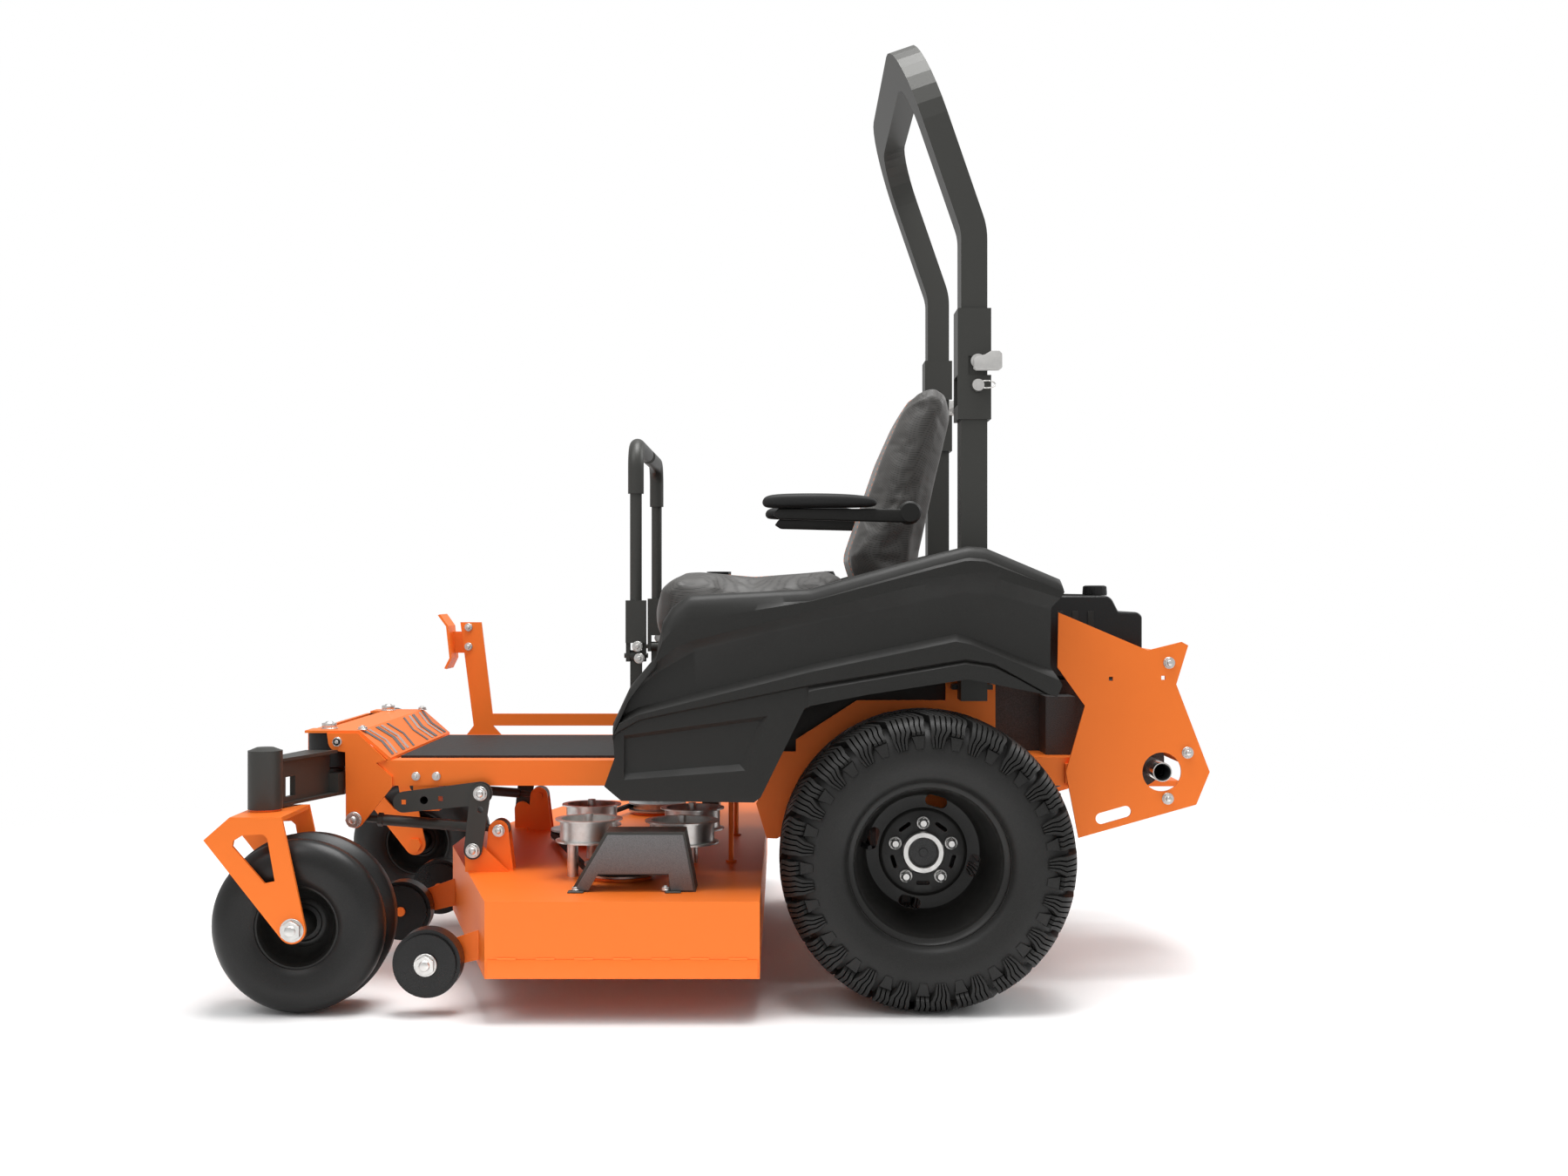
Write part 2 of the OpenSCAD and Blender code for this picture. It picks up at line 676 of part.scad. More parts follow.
module drive_rim() {
    b = rim_d / 2;
    half = drive_tyre_w / 2 - 22;
    at_drive() {
        difference() {
            rotate_extrude() polygon([[b - 5, -half], [b + rim_lip, -half], [b + rim_lip, -half + 5],
                [b, -half + 5], [b, half - 5],
                [b + rim_lip, half - 5], [b + rim_lip, half], [b - 5, half], [b - 5, -dish],
                    [31.5, -dish], [31.5, -dish - 6], [b - 5, -dish - 6]]);
            for (a = [0:90:270]) rotate([0, 0, a + 45]) translate([b - 42, 0, -dish - 10]) {
                for (y = [-14, 14]) translate([0, y, 0]) cylinder(r=13, h=16);
                translate([-13, -14, 0]) cube([26, 28, 16]);
            }
            for (a = [0:72:288]) rotate([0, 0, a + 18]) translate([lug_pcd / 2, 0,
                -dish - 10]) cylinder(r=7.2, h=16);
        }
        difference() {
            union() {
                translate([0, 0, -dish - 18]) cylinder(r=74, h=12);
                translate([0, 0, -dish - 18]) cylinder(r=31, h=44);
            }
            translate([0, 0, -dish - 20]) cylinder(r=hub_bore_r, h=60);
        }
        for (a = [0:72:288]) rotate([0, 0, a + 18]) translate([lug_pcd / 2, 0, -dish]) {
            hex_head(11, 12);
            translate([0, 0, -6]) cylinder(r=7, h=8);
        }
    }
}
module drive_tyre() {
    w = drive_tyre_w / 2;
    r = drive_tyre_d / 2;
    b = rim_d / 2;
    lip = rim_lip + 0.2;
    at_drive() rotate_extrude() polygon(concat([[b, -w + 42], [b, -w + 27.1], [b + lip, -w + 27.1],
        [b + lip, -w + 12],
        [b + 45, -w + 2]], round_end(r - 45, -w + 45, 45, 270, 345, 5), [[r, -w + 72], [r, w - 72]],
        round_end(r - 45, w - 45, 45, 15, 90, 5), [[b + 45, w - 2], [b + lip, w - 12],
            [b + lip, w - 27.1], [b, w - 27.1],
        [b, w - 42], [b + 26, w - 34], [b + 50, w - 18], [r - 42, w - 22], [r - 20, w - 52],
            [r - 20, -w + 52],
        [r - 42, -w + 22], [b + 50, -w + 18], [b + 26, -w + 34]]));
}
module drive_rim_left() { color("dimgray") place() drive_rim(); }
module drive_rim_right() { color("dimgray") place() right_side() drive_rim(); }
module drive_tyre_left() { color("black") place() drive_tyre(); }
module drive_tyre_right() { color("black") place() right_side() drive_tyre(); }

// ---------- lap bars ----------

module lever_mount() {
    difference() {
        union() {
            bar_y(lever_x, -lever_y - 32, lever_pivot_z, 17, 66);
            block([lever_x - 12, -lever_y + 3, lever_pivot_z],
                [lever_x + 12, -lever_y + 11, lever_swing_z - 8]);
            bar_x(lever_x - 12, -lever_y + 7, lever_swing_z, 11, 24);
        }
        bar_y(lever_x, -lever_y - 40, lever_pivot_z, lever_pin_r + run, 90);
        bar_x(lever_x - 30, -lever_y + 7, lever_swing_z, 5 + run, 60);
    }
}
// Path of the lap bar tube: upright, elbow and inward run, for a bar radius r from height start.
module lever_path(r, start) {
    bend = 45;
    inner = 28;
    translate([lever_x, -lever_y, start]) cylinder(r=r, h=lever_top_z - bend - start);
    translate([lever_x, -lever_y + bend, lever_top_z - bend]) rotate([0, -90, 0]) rotate([0, 0, -90])
        rotate_extrude(angle=90) translate([bend, 0]) circle(r=r);
    bar_y(lever_x, -lever_y + bend, lever_top_z, r, lever_y - bend - inner);
}
module lever() {
    side = lever_y - 7;
    for (x = [lever_x - 20, lever_x + 12.3]) difference() {
        block([x, -side - 11, lever_swing_z - 12], [x + 7.7, -side + 11, lever_swing_z + 26]);
        bar_x(x - 1, -side, lever_swing_z, 5 + 0.2, 12);
    }
    bar_x(lever_x - 24, -side, lever_swing_z, 5, 48);
    block([lever_x - 20, -side - 20, lever_swing_z + 25.9], [lever_x + 20, -side + 11, 767]);
    difference() {
        lever_path(lever_d / 2, 740);
        block([lever_x - 20, -side - 20, 700], [lever_x + 20, -side + 11, 767]);
    }
    difference() {
        lever_path(grip_d / 2, 983);
        lever_path(lever_d / 2, 980);
    }
}
module lever_mount_left() { color("dimgray") on_frame() lever_mount(); }
module lever_mount_right() { color("dimgray") on_frame() right_side() lever_mount(); }
module lever_left() { color("dimgray") on_frame() lever(); }
module lever_right() { color("dimgray") on_frame() right_side() lever(); }

// ---------- seat ----------

module seat_platform() {
    color("dimgray") on_frame() {
        difference() {
            union() {
                block([seat_hinge_x, -100, seat_hinge_z - 4], [300, 100, seat_hinge_z + 4]);
                block([seat_hinge_x + 14, -seat_w / 2 + 20, seat_hinge_z - 4],
                    [300, seat_w / 2 - 20, seat_hinge_z + 4]);
                bar_y(seat_hinge_x, -100, seat_hinge_z, 10, 200);
                both() block([-170, -152, seat_hinge_z + 4], [230, -130, seat_hinge_z + 12]);
            }
            bar_y(seat_hinge_x, -101, seat_hinge_z, 6 + run, 202);
        }
    }
}
module seat_cushion() {
    color("gray") on_frame() {
        side_sheet([[-277, 716], [-266, 672], [-250, 668], [-215, 674], [150, 674], [158, 700],
            [158, 770], [123, 826], [-60, 822], [-240, 814], [-268, 796]],
            -seat_w / 2, seat_w);
        both() block([-150, -150, 664.5], [130, -132, 674]);
    }
}
module seat_back() {
    color("gray") on_frame() side_sheet([[176, 690], [166, 780], [138, 850], [215, 1070], [284, 1212], [318, 1221], [346, 1203], [345, 1180],
        [270, 862], [252, 690]], -seat_w / 2 + 12, seat_w - 24);
}
module armrest() {
    side = seat_w / 2;
    side_sheet([[-44, 966], [-38, 956], [0, 950], [185, 950], [188, 966], [180, 978], [100, 984],
        [-20, 980]], -side - 76, 54);
    side_sheet([[-20, 938], [-10, 932], [190, 926], [262, 926], [262, 952], [-15, 952]], -side - 58, 22);
    bar_y(armrest_x, -side - 58, armrest_z, 24, 60);
    bar_y(armrest_x, -side + 2, armrest_z, 9, 9.5);
}
module armrest_left() { color("dimgray") on_frame() armrest(); }
module armrest_right() { color("dimgray") on_frame() right_side() armrest(); }

// ---------- deck ----------

deck_outline = [[deck_rear, deck_left], [deck_side_front, deck_left], [deck_front, deck_offset - deck_nose],
    [deck_front, deck_offset + deck_nose], [deck_side_front, deck_right], [deck_rear, deck_right]];
spindles = [[spindle_side_x, deck_offset - spindle_span], [spindle_mid_x, deck_offset],
    [spindle_side_x, deck_offset + spindle_span]];
roller_z = 98;
side_roller_x = deck_side_front - 117;
mid_roller_x = deck_front - 91;
side_roller_y = deck_left + 80;

module roller_arm(x, y, root) {
    difference() {
        side_sheet([[root, deck_low + 80], [root, deck_low + 20], [x + 5, roller_z - 22],
            [x - 18, roller_z - 14], [x - 18, roller_z + 16], [x, roller_z + 22]], y, 6);
        bar_y(x, y - 1, roller_z, 10.2, 8);
    }
}

module deck_ears() {
    side_sheet(concat([[hang_x - 32, deck_top]], round_end(hang_x - 15, deck_ear_z, 18, 180, 45),
        [[hang_x + 56, deck_top]]), -crank_y + 3, 6);
    for (y = [-rod_y - 21, -rod_y + 15]) difference() {
        side_sheet(concat([[clevis_x - 28, deck_top]], round_end(clevis_x, clevis_z, 20, 175, 5),
            [[clevis_x + 30, deck_top]]), y, 6);
        bar_y(clevis_x, y - 1, clevis_z, rod_pin_r + 0.2, 8);
    }
    bar_y(clevis_x, -rod_y - 25, clevis_z, rod_pin_r, 50);
    translate([deck_rear - 66, -200, deck_top]) cylinder(r=5.25, h=150);
    translate([deck_rear - 66, -200, deck_top]) cylinder(r=11, h=4);
}

module deck_shell() {
    color("darkorange") place() {
        difference() {
            translate([0, 0, deck_low]) linear_extrude(deck_depth) polygon(deck_outline);
            translate([0, 0, deck_low - 1]) linear_extrude(deck_depth - deck_t + 1) offset(delta=-deck_t) polygon(deck_outline);
            block([deck_rear - 360, deck_right - 20, deck_low - 1],
                [deck_rear - 50, deck_right + 1, deck_top - 14]);
            for (s = spindles) translate([s[0], s[1], deck_top - 20]) cylinder(r=40.5, h=40);
        }
        for (s = spindles) translate([s[0], s[1], 0]) difference() {
            union() {
                translate([0, 0, deck_top - 60]) cylinder(r=40, h=68);
                translate([0, 0, deck_top]) cylinder(r=60, h=5);
            }
            translate([0, 0, deck_top - 61]) cylinder(r=spindle_r + run, h=80);
        }
        both() deck_ears();
        roller_arm(side_roller_x, side_roller_y + roller_w / 2 + 4, deck_side_front + 6);
        translate([0, 2 * deck_offset, 0]) right_side() roller_arm(side_roller_x,
            side_roller_y + roller_w / 2 + 4, deck_side_front + 6);
        for (y = [-55, 255]) roller_arm(mid_roller_x + (y > 0 ? 22 : 0),
            y + roller_w / 2 + 4, deck_front + (y > 0 ? 30 : 25));
        bar_y(side_roller_x, side_roller_y - roller_w / 2 - 4, roller_z, 10, roller_w + 16);
        bar_y(side_roller_x, 2 * deck_offset - side_roller_y - roller_w / 2 - 12, roller_z, 10,
            roller_w + 16);
        for (y = [-55, 255]) bar_y(mid_roller_x + (y > 0 ? 22 : 0),
            y - roller_w / 2 - 4, roller_z, 10, roller_w + 16);
        hex_y(side_roller_x, side_roller_y - roller_w / 2 - 3, roller_z, 16, 9);
        for (x = [deck_rear - 330, deck_rear - 105]) bar_x(x, hinge_y, deck_top - 8, 6, 46);
        for (x = [deck_rear - 328, deck_rear - 78])
            block([x, deck_right - 2, deck_top - 14], [x + 16, hinge_y, deck_top - 2]);
    }
}

module cover_half() {
    side = deck_offset - spindle_span;
    outline = [[spindle_side_x - 80, deck_top + 0.2], [spindle_side_x - 14, deck_top + 112],
        [spindle_side_x + 134, deck_top + 112], [spindle_side_x + 155, deck_top + 0.2]];
    difference() {
        side_sheet(outline, side - 170, 78);
        translate([0, side - 91, 0]) rotate([90, 0, 0]) linear_extrude(75) offset(delta=-4) polygon(outline);
        block([spindle_side_x - 73, side - 166, deck_top - 1],
            [spindle_side_x + 148, side - 80, deck_top + 6]);
        side_sheet([[spindle_side_x - 48, deck_top - 1], [spindle_side_x - 30, deck_top + 32],
            [spindle_side_x + 104, deck_top + 32],
            [spindle_side_x + 106, deck_top - 1]], side - 172, 10);
    }
}
module belt_covers() {
    color("dimgray") place() {
        cover_half();
        translate([0, 2 * deck_offset, 0]) right_side() cover_half();
    }
}

module deck_belt() {
    color("black") place() translate([0, 0, belt_z]) linear_extrude(10) difference() {
        hull() for (s = spindles) translate(s) circle(r=pulley_r + 1, $fn=32);
        hull() for (s = spindles) translate(s) circle(r=pulley_r - 9, $fn=32);
    }
}

module spindle(at, turn) {
    translate([at[0], at[1], 0]) {
        translate([0, 0, deck_low + 16]) cylinder(r=spindle_r, h=deck_top + 40 - deck_low - 16);
        translate([0, 0, deck_low + 16]) rotate([0, 0, turn]) difference() {
            block([-blade_r, -32, 0], [blade_r, 32, 6]);
            for (a = [0, 180]) rotate([0, 0, a]) translate([blade_r - 90, 18, -1]) cube([100, 20, 8]);
        }
        translate([0, 0, belt_z - 6]) rotate_extrude() polygon([[spindle_r, 0], [pulley_r, 0],
            [pulley_r, 4], [pulley_r - 11, 5.2], [pulley_r - 11, 16.8], [pulley_r, 18], [pulley_r, 22],
            [spindle_r, 22]]);
        translate([0, 0, deck_low + 4]) hex_head(16, 12);
    }
}
module spindle_left() { color("silver") place() spindle(spindles[0], 0); }
module spindle_center() { color("silver") place() spindle(spindles[1], 0); }
module spindle_right() { color("silver") place() spindle(spindles[2], 0); }

module roller(x, y) {
    translate([x, y, roller_z]) rotate([90, 0, 0]) difference() {
        union() {
            cylinder(r=roller_d / 2, h=roller_w - 16, center=true);
            cylinder(r=roller_d / 2 - 8, h=roller_w, center=true);
        }
        cylinder(r=10 + run, h=roller_w + 2, center=true);
    }
}
module roller_left() { color("black") place() roller(side_roller_x, side_roller_y); }
module roller_right() { color("black") place() roller(side_roller_x, 2 * deck_offset - side_roller_y); }
module roller_center_left() { color("black") place() roller(mid_roller_x, -55); }
module roller_center_right() { color("black") place() roller(mid_roller_x + 22, 255); }

// Flanged drum on a post; the post may stand off the drum's axis on a short arm.
module drum(x, y, r, base, off=0) {
    post_r = 11;
    translate([x, y, base]) {
        rotate_extrude() polygon([[12, 0], [r, 0], [r, 3], [r - 9, 4], [r - 9, 41], [r, 42], [r, 45],
            [r - 12, 45],
            [r - 12, 20], [12, 20]]);
        translate([0, 0, 20]) cylinder(r=8, h=34);
        translate([-off, 0, deck_top - base]) cylinder(r=post_r, h=base - deck_top);
        block([-off, -post_r, -8], [post_r, post_r, 0.5]);
        cylinder(r=12.5, h=20);
    }
}
module idler_pulleys() {
    base = deck_top + 70;
    color("silver") place() {
        drum(spindle_side_x - 65, deck_offset - spindle_span + 15, 66, base, 32);
        drum(spindle_side_x - 85, deck_offset - spindle_span + 255, 62, base);
        drum(spindle_side_x + 120, deck_offset - spindle_span - 10, 72, base);
        drum(spindle_side_x + 130, deck_offset - spindle_span + 195, 66, base);
    }
}

module discharge_chute() {
    x0 = deck_rear - 360;
    x1 = deck_rear - 50;
    y0 = hinge_y + 14;
    y1 = deck_right + chute_reach;
    color("dimgray") place() {
        difference() {
            translate([x1, 0, 0]) rotate([0, -90, 0]) linear_extrude(x1 - x0)
                polygon([[deck_top - 4, y0], [deck_top - 4, y0 + 40], [deck_low + 80, y1],
                    [deck_low + 40, y1], [deck_low + 40, y0], [deck_top - 16, y0]]);
            translate([x1 - 5, 0, 0]) rotate([0, -90, 0]) linear_extrude(x1 - x0 - 10)
                polygon([[deck_top - 9, y0 - 1], [deck_top - 9, y0 + 39], [deck_low + 74, y1 - 5],
                    [deck_low + 39, y1 - 5], [deck_low + 39, y0 - 1]]);
        }
        for (x = [deck_rear - 309, deck_rear - 103]) difference() {
            union() {
                bar_x(x, hinge_y, deck_top - 8, 9, 24);
                block([x, hinge_y + 2, deck_top - 4], [x + 24, y0 + 20, deck_top + 1]);
            }
            bar_x(x - 1, hinge_y, deck_top - 8, 6 + run, 26);
        }
    }
}

module clutch_pulley() {
    color("dimgray") on_frame() translate([540, 0, 338]) rotate_extrude()
        polygon([[12.5 + run, 0], [66, 0], [66, 4], [54, 6], [54, 20], [66, 22], [66, 44], [40, 50],
            [12.5 + run, 50]]);
}

// ---------- deck lift linkage ----------

module lift_bellcranks() {
    color("dimgray") on_frame() {
        both() difference() {
            link_xz([crank_x - 41, crank_z - 4], [hang_x, hang_z], 21, 23, -crank_y, 6);
            bar_y(crank_x, -crank_y - 1, crank_z, 8, 8);
            bar_y(hang_x, -crank_y - 1, hang_z, 10.5, 8);
            block([crank_x - 46, -crank_y - 1, crank_z - 9], [crank_x - 36, -crank_y + 7, crank_z + 1]);
            block([crank_x + 28, -crank_y - 1, crank_z - 2], [crank_x + 38, -crank_y + 7, crank_z + 8]);
        }
        difference() {
            bar_y(crank_x, -crank_y + 6, crank_z, crank_r, 2 * crank_y - 12);
            bar_y(crank_x, -crank_y, crank_z, 8, 2 * crank_y);
        }
    }
}

module push_rod() {
    a = [ear_x, ear_z + lift];
    b = [clevis_x, clevis_z];
    len = norm(b - a);
    tilt = atan2(b[1] - a[1], b[0] - a[0]);
    translate([a[0], -rod_y, a[1]]) rotate([0, -tilt, 0]) {
        difference() {
            union() {
                bar_x(12, 0, 0, 7, len - 24);
                bar_x(52, 0, 0, 11, len - 100);
                translate([42, 0, 0]) rotate([0, 90, 0]) hex_head(14, 10);
                bar_y(0, -12, 0, 17, 24);
                bar_y(len, -12, 0, 20, 24);
            }
            bar_y(0, -13, 0, rod_pin_r + run, 26);
            bar_y(len, -13, 0, rod_pin_r + rod_slack, 26);
        }
    }
}
module push_rods() { color("dimgray") place() both() push_rod(); }

module hanger_links() {
    color("dimgray") place() both() {
        difference() {
            link_xz([hang_x, hang_z + lift], [hang_x - 15, deck_ear_z], 20, 18, -crank_y - 7, 6);
            bar_y(hang_x, -crank_y - 8, hang_z + lift - 32, 6, 8);
        }
        bar_y(hang_x, -crank_y - 1.1, hang_z + lift, 6, 12);
        hex_y(hang_x, -crank_y - 7, hang_z + lift, 12, 8);
        bar_y(hang_x - 15, -crank_y - 1.1, deck_ear_z, 6, 4.1);
        hex_y(hang_x - 15, -crank_y - 7, deck_ear_z, 12, 8);
    }
}

module deck_pedal() {
    x0 = kingpin_x;
    y0 = pedal_y;
    color("orangered") on_frame() {
        difference() {
            union() {
                side_sheet([[x0 + 236, 449], [x0 + 316, 449], [x0 + 297, 470], [pedal_pivot_x, 470],
                    [pedal_pivot_x, 498], [x0 + 296, 498],
                    [x0 + 270, 712], [x0 + 221, 712], [x0 + 252, 470]], y0, 8);
                bar_y(pedal_pivot_x, y0, pedal_pivot_z, 20, 24);
            }
            bar_y(pedal_pivot_x, y0 - 1, pedal_pivot_z, 8 + run, 40);
        }
        side_sheet([[x0 + 176, 729], [x0 + 181, 731], [x0 + 200, 704], [x0 + 208, 629], [x0 + 196, 604],
            [x0 + 191, 606], [x0 + 203, 630], [x0 + 195, 703]], y0 - 41, 90);
        side_sheet([[x0 + 196, 690], [x0 + 240, 690], [x0 + 240, 640], [x0 + 203, 640]], y0 + 8.1, 6);
        for (z = [655, 698]) bar_y(x0 + 236, y0 + 8, z, 9, 14);
    }
}

module height_knob() {
    color("black") on_frame() translate([knob_x, knob_y, 804]) difference() {
        cylinder(r=29, h=27, $fn=10);
        translate([0, 0, -1]) cylinder(r=6 + run, h=14, $fn=48);
    }
}

frame_rails();
frame_crossmembers();
frame_side_plates();
toe_board();
floor_pan();
floor_mat();
axle_isolators();
frame_bolts();
fender_left();
fender_right();
seat_deck();
engine_block();
engine_shroud();
muffler();
guard_plates();
guard_bumper();
transaxles();
rops_posts();
axle_arm_left();
axle_arm_right();
caster_fork_left();
caster_fork_right();
caster_rim_left();
caster_rim_right();
caster_tyre_left();
caster_tyre_right();
drive_rim_left();
drive_rim_right();
drive_tyre_left();
drive_tyre_right();
rops_hoop();
rops_pin_left();
rops_pin_right();
lever_mount_left();
lever_mount_right();
lever_left();
lever_right();
seat_platform();
seat_cushion();
seat_back();
armrest_left();
armrest_right();
deck_shell();
belt_covers();
deck_belt();
discharge_chute();
spindle_left();
spindle_center();
spindle_right();
roller_left();
roller_center_left();
roller_center_right();
roller_right();
idler_pulleys();
clutch_pulley();
deck_pedal();
lift_bellcranks();
push_rods();
hanger_links();
height_knob();
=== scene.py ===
"""Looks of the zero turn mower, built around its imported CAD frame."""
import logging
import math
from dataclasses import dataclass
from enum import Enum
from functools import lru_cache
from typing import Callable, Iterable, Sequence

import bmesh
import bpy
from mathutils import Matrix, Vector


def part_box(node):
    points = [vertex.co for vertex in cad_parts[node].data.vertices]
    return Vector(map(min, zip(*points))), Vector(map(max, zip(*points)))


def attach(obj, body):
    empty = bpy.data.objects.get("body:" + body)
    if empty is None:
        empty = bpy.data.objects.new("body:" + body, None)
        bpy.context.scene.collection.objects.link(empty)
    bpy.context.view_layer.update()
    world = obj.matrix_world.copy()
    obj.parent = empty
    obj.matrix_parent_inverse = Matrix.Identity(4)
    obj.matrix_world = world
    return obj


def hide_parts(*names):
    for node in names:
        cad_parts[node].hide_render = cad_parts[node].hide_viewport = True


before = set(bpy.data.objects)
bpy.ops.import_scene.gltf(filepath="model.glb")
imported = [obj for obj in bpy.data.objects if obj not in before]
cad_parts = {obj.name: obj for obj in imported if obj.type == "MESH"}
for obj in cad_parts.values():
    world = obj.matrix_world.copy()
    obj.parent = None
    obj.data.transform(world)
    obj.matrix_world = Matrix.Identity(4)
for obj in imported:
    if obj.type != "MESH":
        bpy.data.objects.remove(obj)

LOG = logging.getLogger("mower")
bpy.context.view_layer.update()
MM = 0.001
FULL_TURN = 2 * math.pi


@lru_cache(maxsize=None)
def low_high(node: str) -> tuple[Vector, Vector]:
    """Corners of a CAD node at rest, as vectors.

    Args:
        node: the CAD node's name.

    Returns:
        Its lowest and highest corners, in metres.
    """
    low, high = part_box(node)
    return Vector(low), Vector(high)


def middle(node: str) -> Vector:
    """Centre of a CAD node's box."""
    low, high = low_high(node)
    return (low + high) / 2


AXLE_STATION = 270.0
CENTRE_Y = (middle("drive_tyre_left").y + middle("drive_tyre_right").y) / 2
DATUM_X = middle("drive_tyre_left").x - AXLE_STATION * MM


class Side(Enum):
    """The two sides of the machine: the sign of Y measured from its centre plane."""

    LEFT = -1
    RIGHT = 1

    @property
    def word(self) -> str:
        """The side's name as the CAD nodes use it."""
        return self.name.lower()


def at(x: float, y: float, z: float) -> Vector:
    """A point in the row frame from machine stations.

    Args:
        x: millimetres behind the design datum.
        y: millimetres right of the centre plane.
        z: millimetres above the ground.

    Returns:
        The point in metres.
    """
    return Vector((DATUM_X + x * MM, CENTRE_Y + y * MM, z * MM))


# ---------------------------------------------------------------- shader maths


class Value:
    """A shader socket whose arithmetic adds Math nodes to its tree."""

    def __init__(self, tree: bpy.types.NodeTree, out: bpy.types.NodeSocket) -> None:
        """Wraps one output socket."""
        self.tree = tree
        self.out = out

    def maths(self, operation: str, *items: "Value | float") -> "Value":
        """Adds one Math node over items.

        Args:
            operation: the Math node's operation.
            items: values or numbers for its inputs, in order.

        Returns:
            The node's result.
        """
        node = self.tree.nodes.new("ShaderNodeMath")
        node.operation = operation
        for slot, item in zip(node.inputs, items):
            if isinstance(item, Value):
                self.tree.links.new(item.out, slot)
            else:
                slot.default_value = item
        return Value(self.tree, node.outputs[0])

    def __add__(self, other: "Value | float") -> "Value":
        """Sum."""
        return self.maths("ADD", self, other)

    __radd__ = __add__

    def __mul__(self, other: "Value | float") -> "Value":
        """Product."""
        return self.maths("MULTIPLY", self, other)

    __rmul__ = __mul__

    def __sub__(self, other: "Value | float") -> "Value":
        """Difference."""
        return self.maths("SUBTRACT", self, other)

    def __rsub__(self, other: float) -> "Value":
        """Difference from a number."""
        return self.maths("SUBTRACT", other, self)

    def __abs__(self) -> "Value":
        """Size without sign."""
        return self.maths("ABSOLUTE", self)

    def __mod__(self, period: float) -> "Value":
        """Remainder, always positive."""
        return self.maths("FLOORED_MODULO", self, period)

    def __gt__(self, other: "Value | float") -> "Value":
        """One where this is greater, zero elsewhere."""
        return self.maths("GREATER_THAN", self, other)

    def sine(self) -> "Value":
        """Sine of an angle in radians."""
        return self.maths("SINE", self)

    def highest(self, other: "Value | float") -> "Value":
        """The greater of two values."""
        return self.maths("MAXIMUM", self, other)

    def ramp(self, low: float, high: float, to_low: float = 0.0, to_high: float = 1.0) -> "Value":
        """Maps low..high to to_low..to_high, clamped.

        Args:
            low: value that gives to_low.
            high: value that gives to_high.
            to_low: result at and below low.
            to_high: result at and above high.

        Returns:
            The mapped value.
        """
        node = self.tree.nodes.new("ShaderNodeMapRange")
        node.interpolation_type = "SMOOTHSTEP"
        for slot, number in zip(node.inputs[1:5], (low, high, to_low, to_high)):
            slot.default_value = number
        self.tree.links.new(self.out, node.inputs[0])
        return Value(self.tree, node.outputs[0])


Colour = tuple[float, float, float]


class Shader:
    """One material's node tree, on Object coordinates."""

    def __init__(self, name: str) -> None:
        """Makes the material and finds its Principled node."""
        self.material = bpy.data.materials.new(name)
        self.material.use_nodes = True
        self.tree = self.material.node_tree
        self.surface = self.tree.nodes["Principled BSDF"]
        self.coords = self.node("ShaderNodeTexCoord").outputs["Object"]

    def node(self, kind: str, settings: dict | None = None, sockets: dict | None = None) -> bpy.types.Node:
        """Adds any node.

        Args:
            kind: the node's type.
            settings: attributes that are set first.
            sockets: input name to a value, a Value or a socket.

        Returns:
            The new node.
        """
        node = self.tree.nodes.new(kind)
        for name, setting in (settings or {}).items():
            setattr(node, name, setting)
        for name, item in (sockets or {}).items():
            self.feed(node.inputs[name], item)
        return node

    def feed(self, slot: bpy.types.NodeSocket, item: object) -> None:
        """Links or sets one input socket."""
        if isinstance(item, Value):
            self.tree.links.new(item.out, slot)
        elif isinstance(item, bpy.types.NodeSocket):
            self.tree.links.new(item, slot)
        else:
            slot.default_value = item

    def axes(self) -> tuple[Value, Value, Value]:
        """The Object coordinates in metres, one Value per axis."""
        split = self.node("ShaderNodeSeparateXYZ", sockets={"Vector": self.coords})
        return tuple(Value(self.tree, out) for out in split.outputs)

    def noise(self, scale: float, detail: float = 3.0, roughness: float = 0.55) -> Value:
        """Noise with features of about 1/scale metres."""
        made = self.node(
            "ShaderNodeTexNoise",
            sockets={"Vector": self.coords, "Scale": scale, "Detail": detail, "Roughness": roughness},
        )
        return Value(self.tree, made.outputs[0])

    def cells(self, scale: float) -> Value:
        """Distance to the nearest of a scatter of points about 1/scale metres apart."""
        made = self.node("ShaderNodeTexVoronoi", sockets={"Vector": self.coords, "Scale": scale})
        return Value(self.tree, made.outputs["Distance"])

    def mix(self, factor: Value, first: Colour, second: Colour) -> bpy.types.NodeSocket:
        """Blends two colours by a factor."""
        made = self.node("ShaderNodeMix", {"data_type": "RGBA"})
        self.feed(made.inputs[0], factor)
        made.inputs[6].default_value = (*first, 1)
        made.inputs[7].default_value = (*second, 1)
        return made.outputs[2]

    def bump(self, height: Value, strength: float, depth: float) -> None:
        """Feeds the surface's normal from a height.

        Args:
            height: the relief, from 0 to 1.
            strength: how much of it shows.
            depth: metres of relief at height 1.
        """
        made = self.node("ShaderNodeBump", sockets={"Height": height, "Strength": strength,
            "Distance": depth})
        self.tree.links.new(made.outputs[0], self.surface.inputs["Normal"])

    def finish(self, **sockets: object) -> bpy.types.Material:
        """Feeds the Principled node and hands back the material.

        Args:
            sockets: input names, with underscores for spaces.

        Returns:
            The material.
        """
        for name, item in sockets.items():
            self.feed(self.surface.inputs[name.replace("_", " ")], item)
        return self.material


def shade(colour: Colour, factor: float) -> Colour:
    """A colour times a factor."""
    return tuple(part * factor for part in colour)


# ---------------------------------------------------------------- finishes


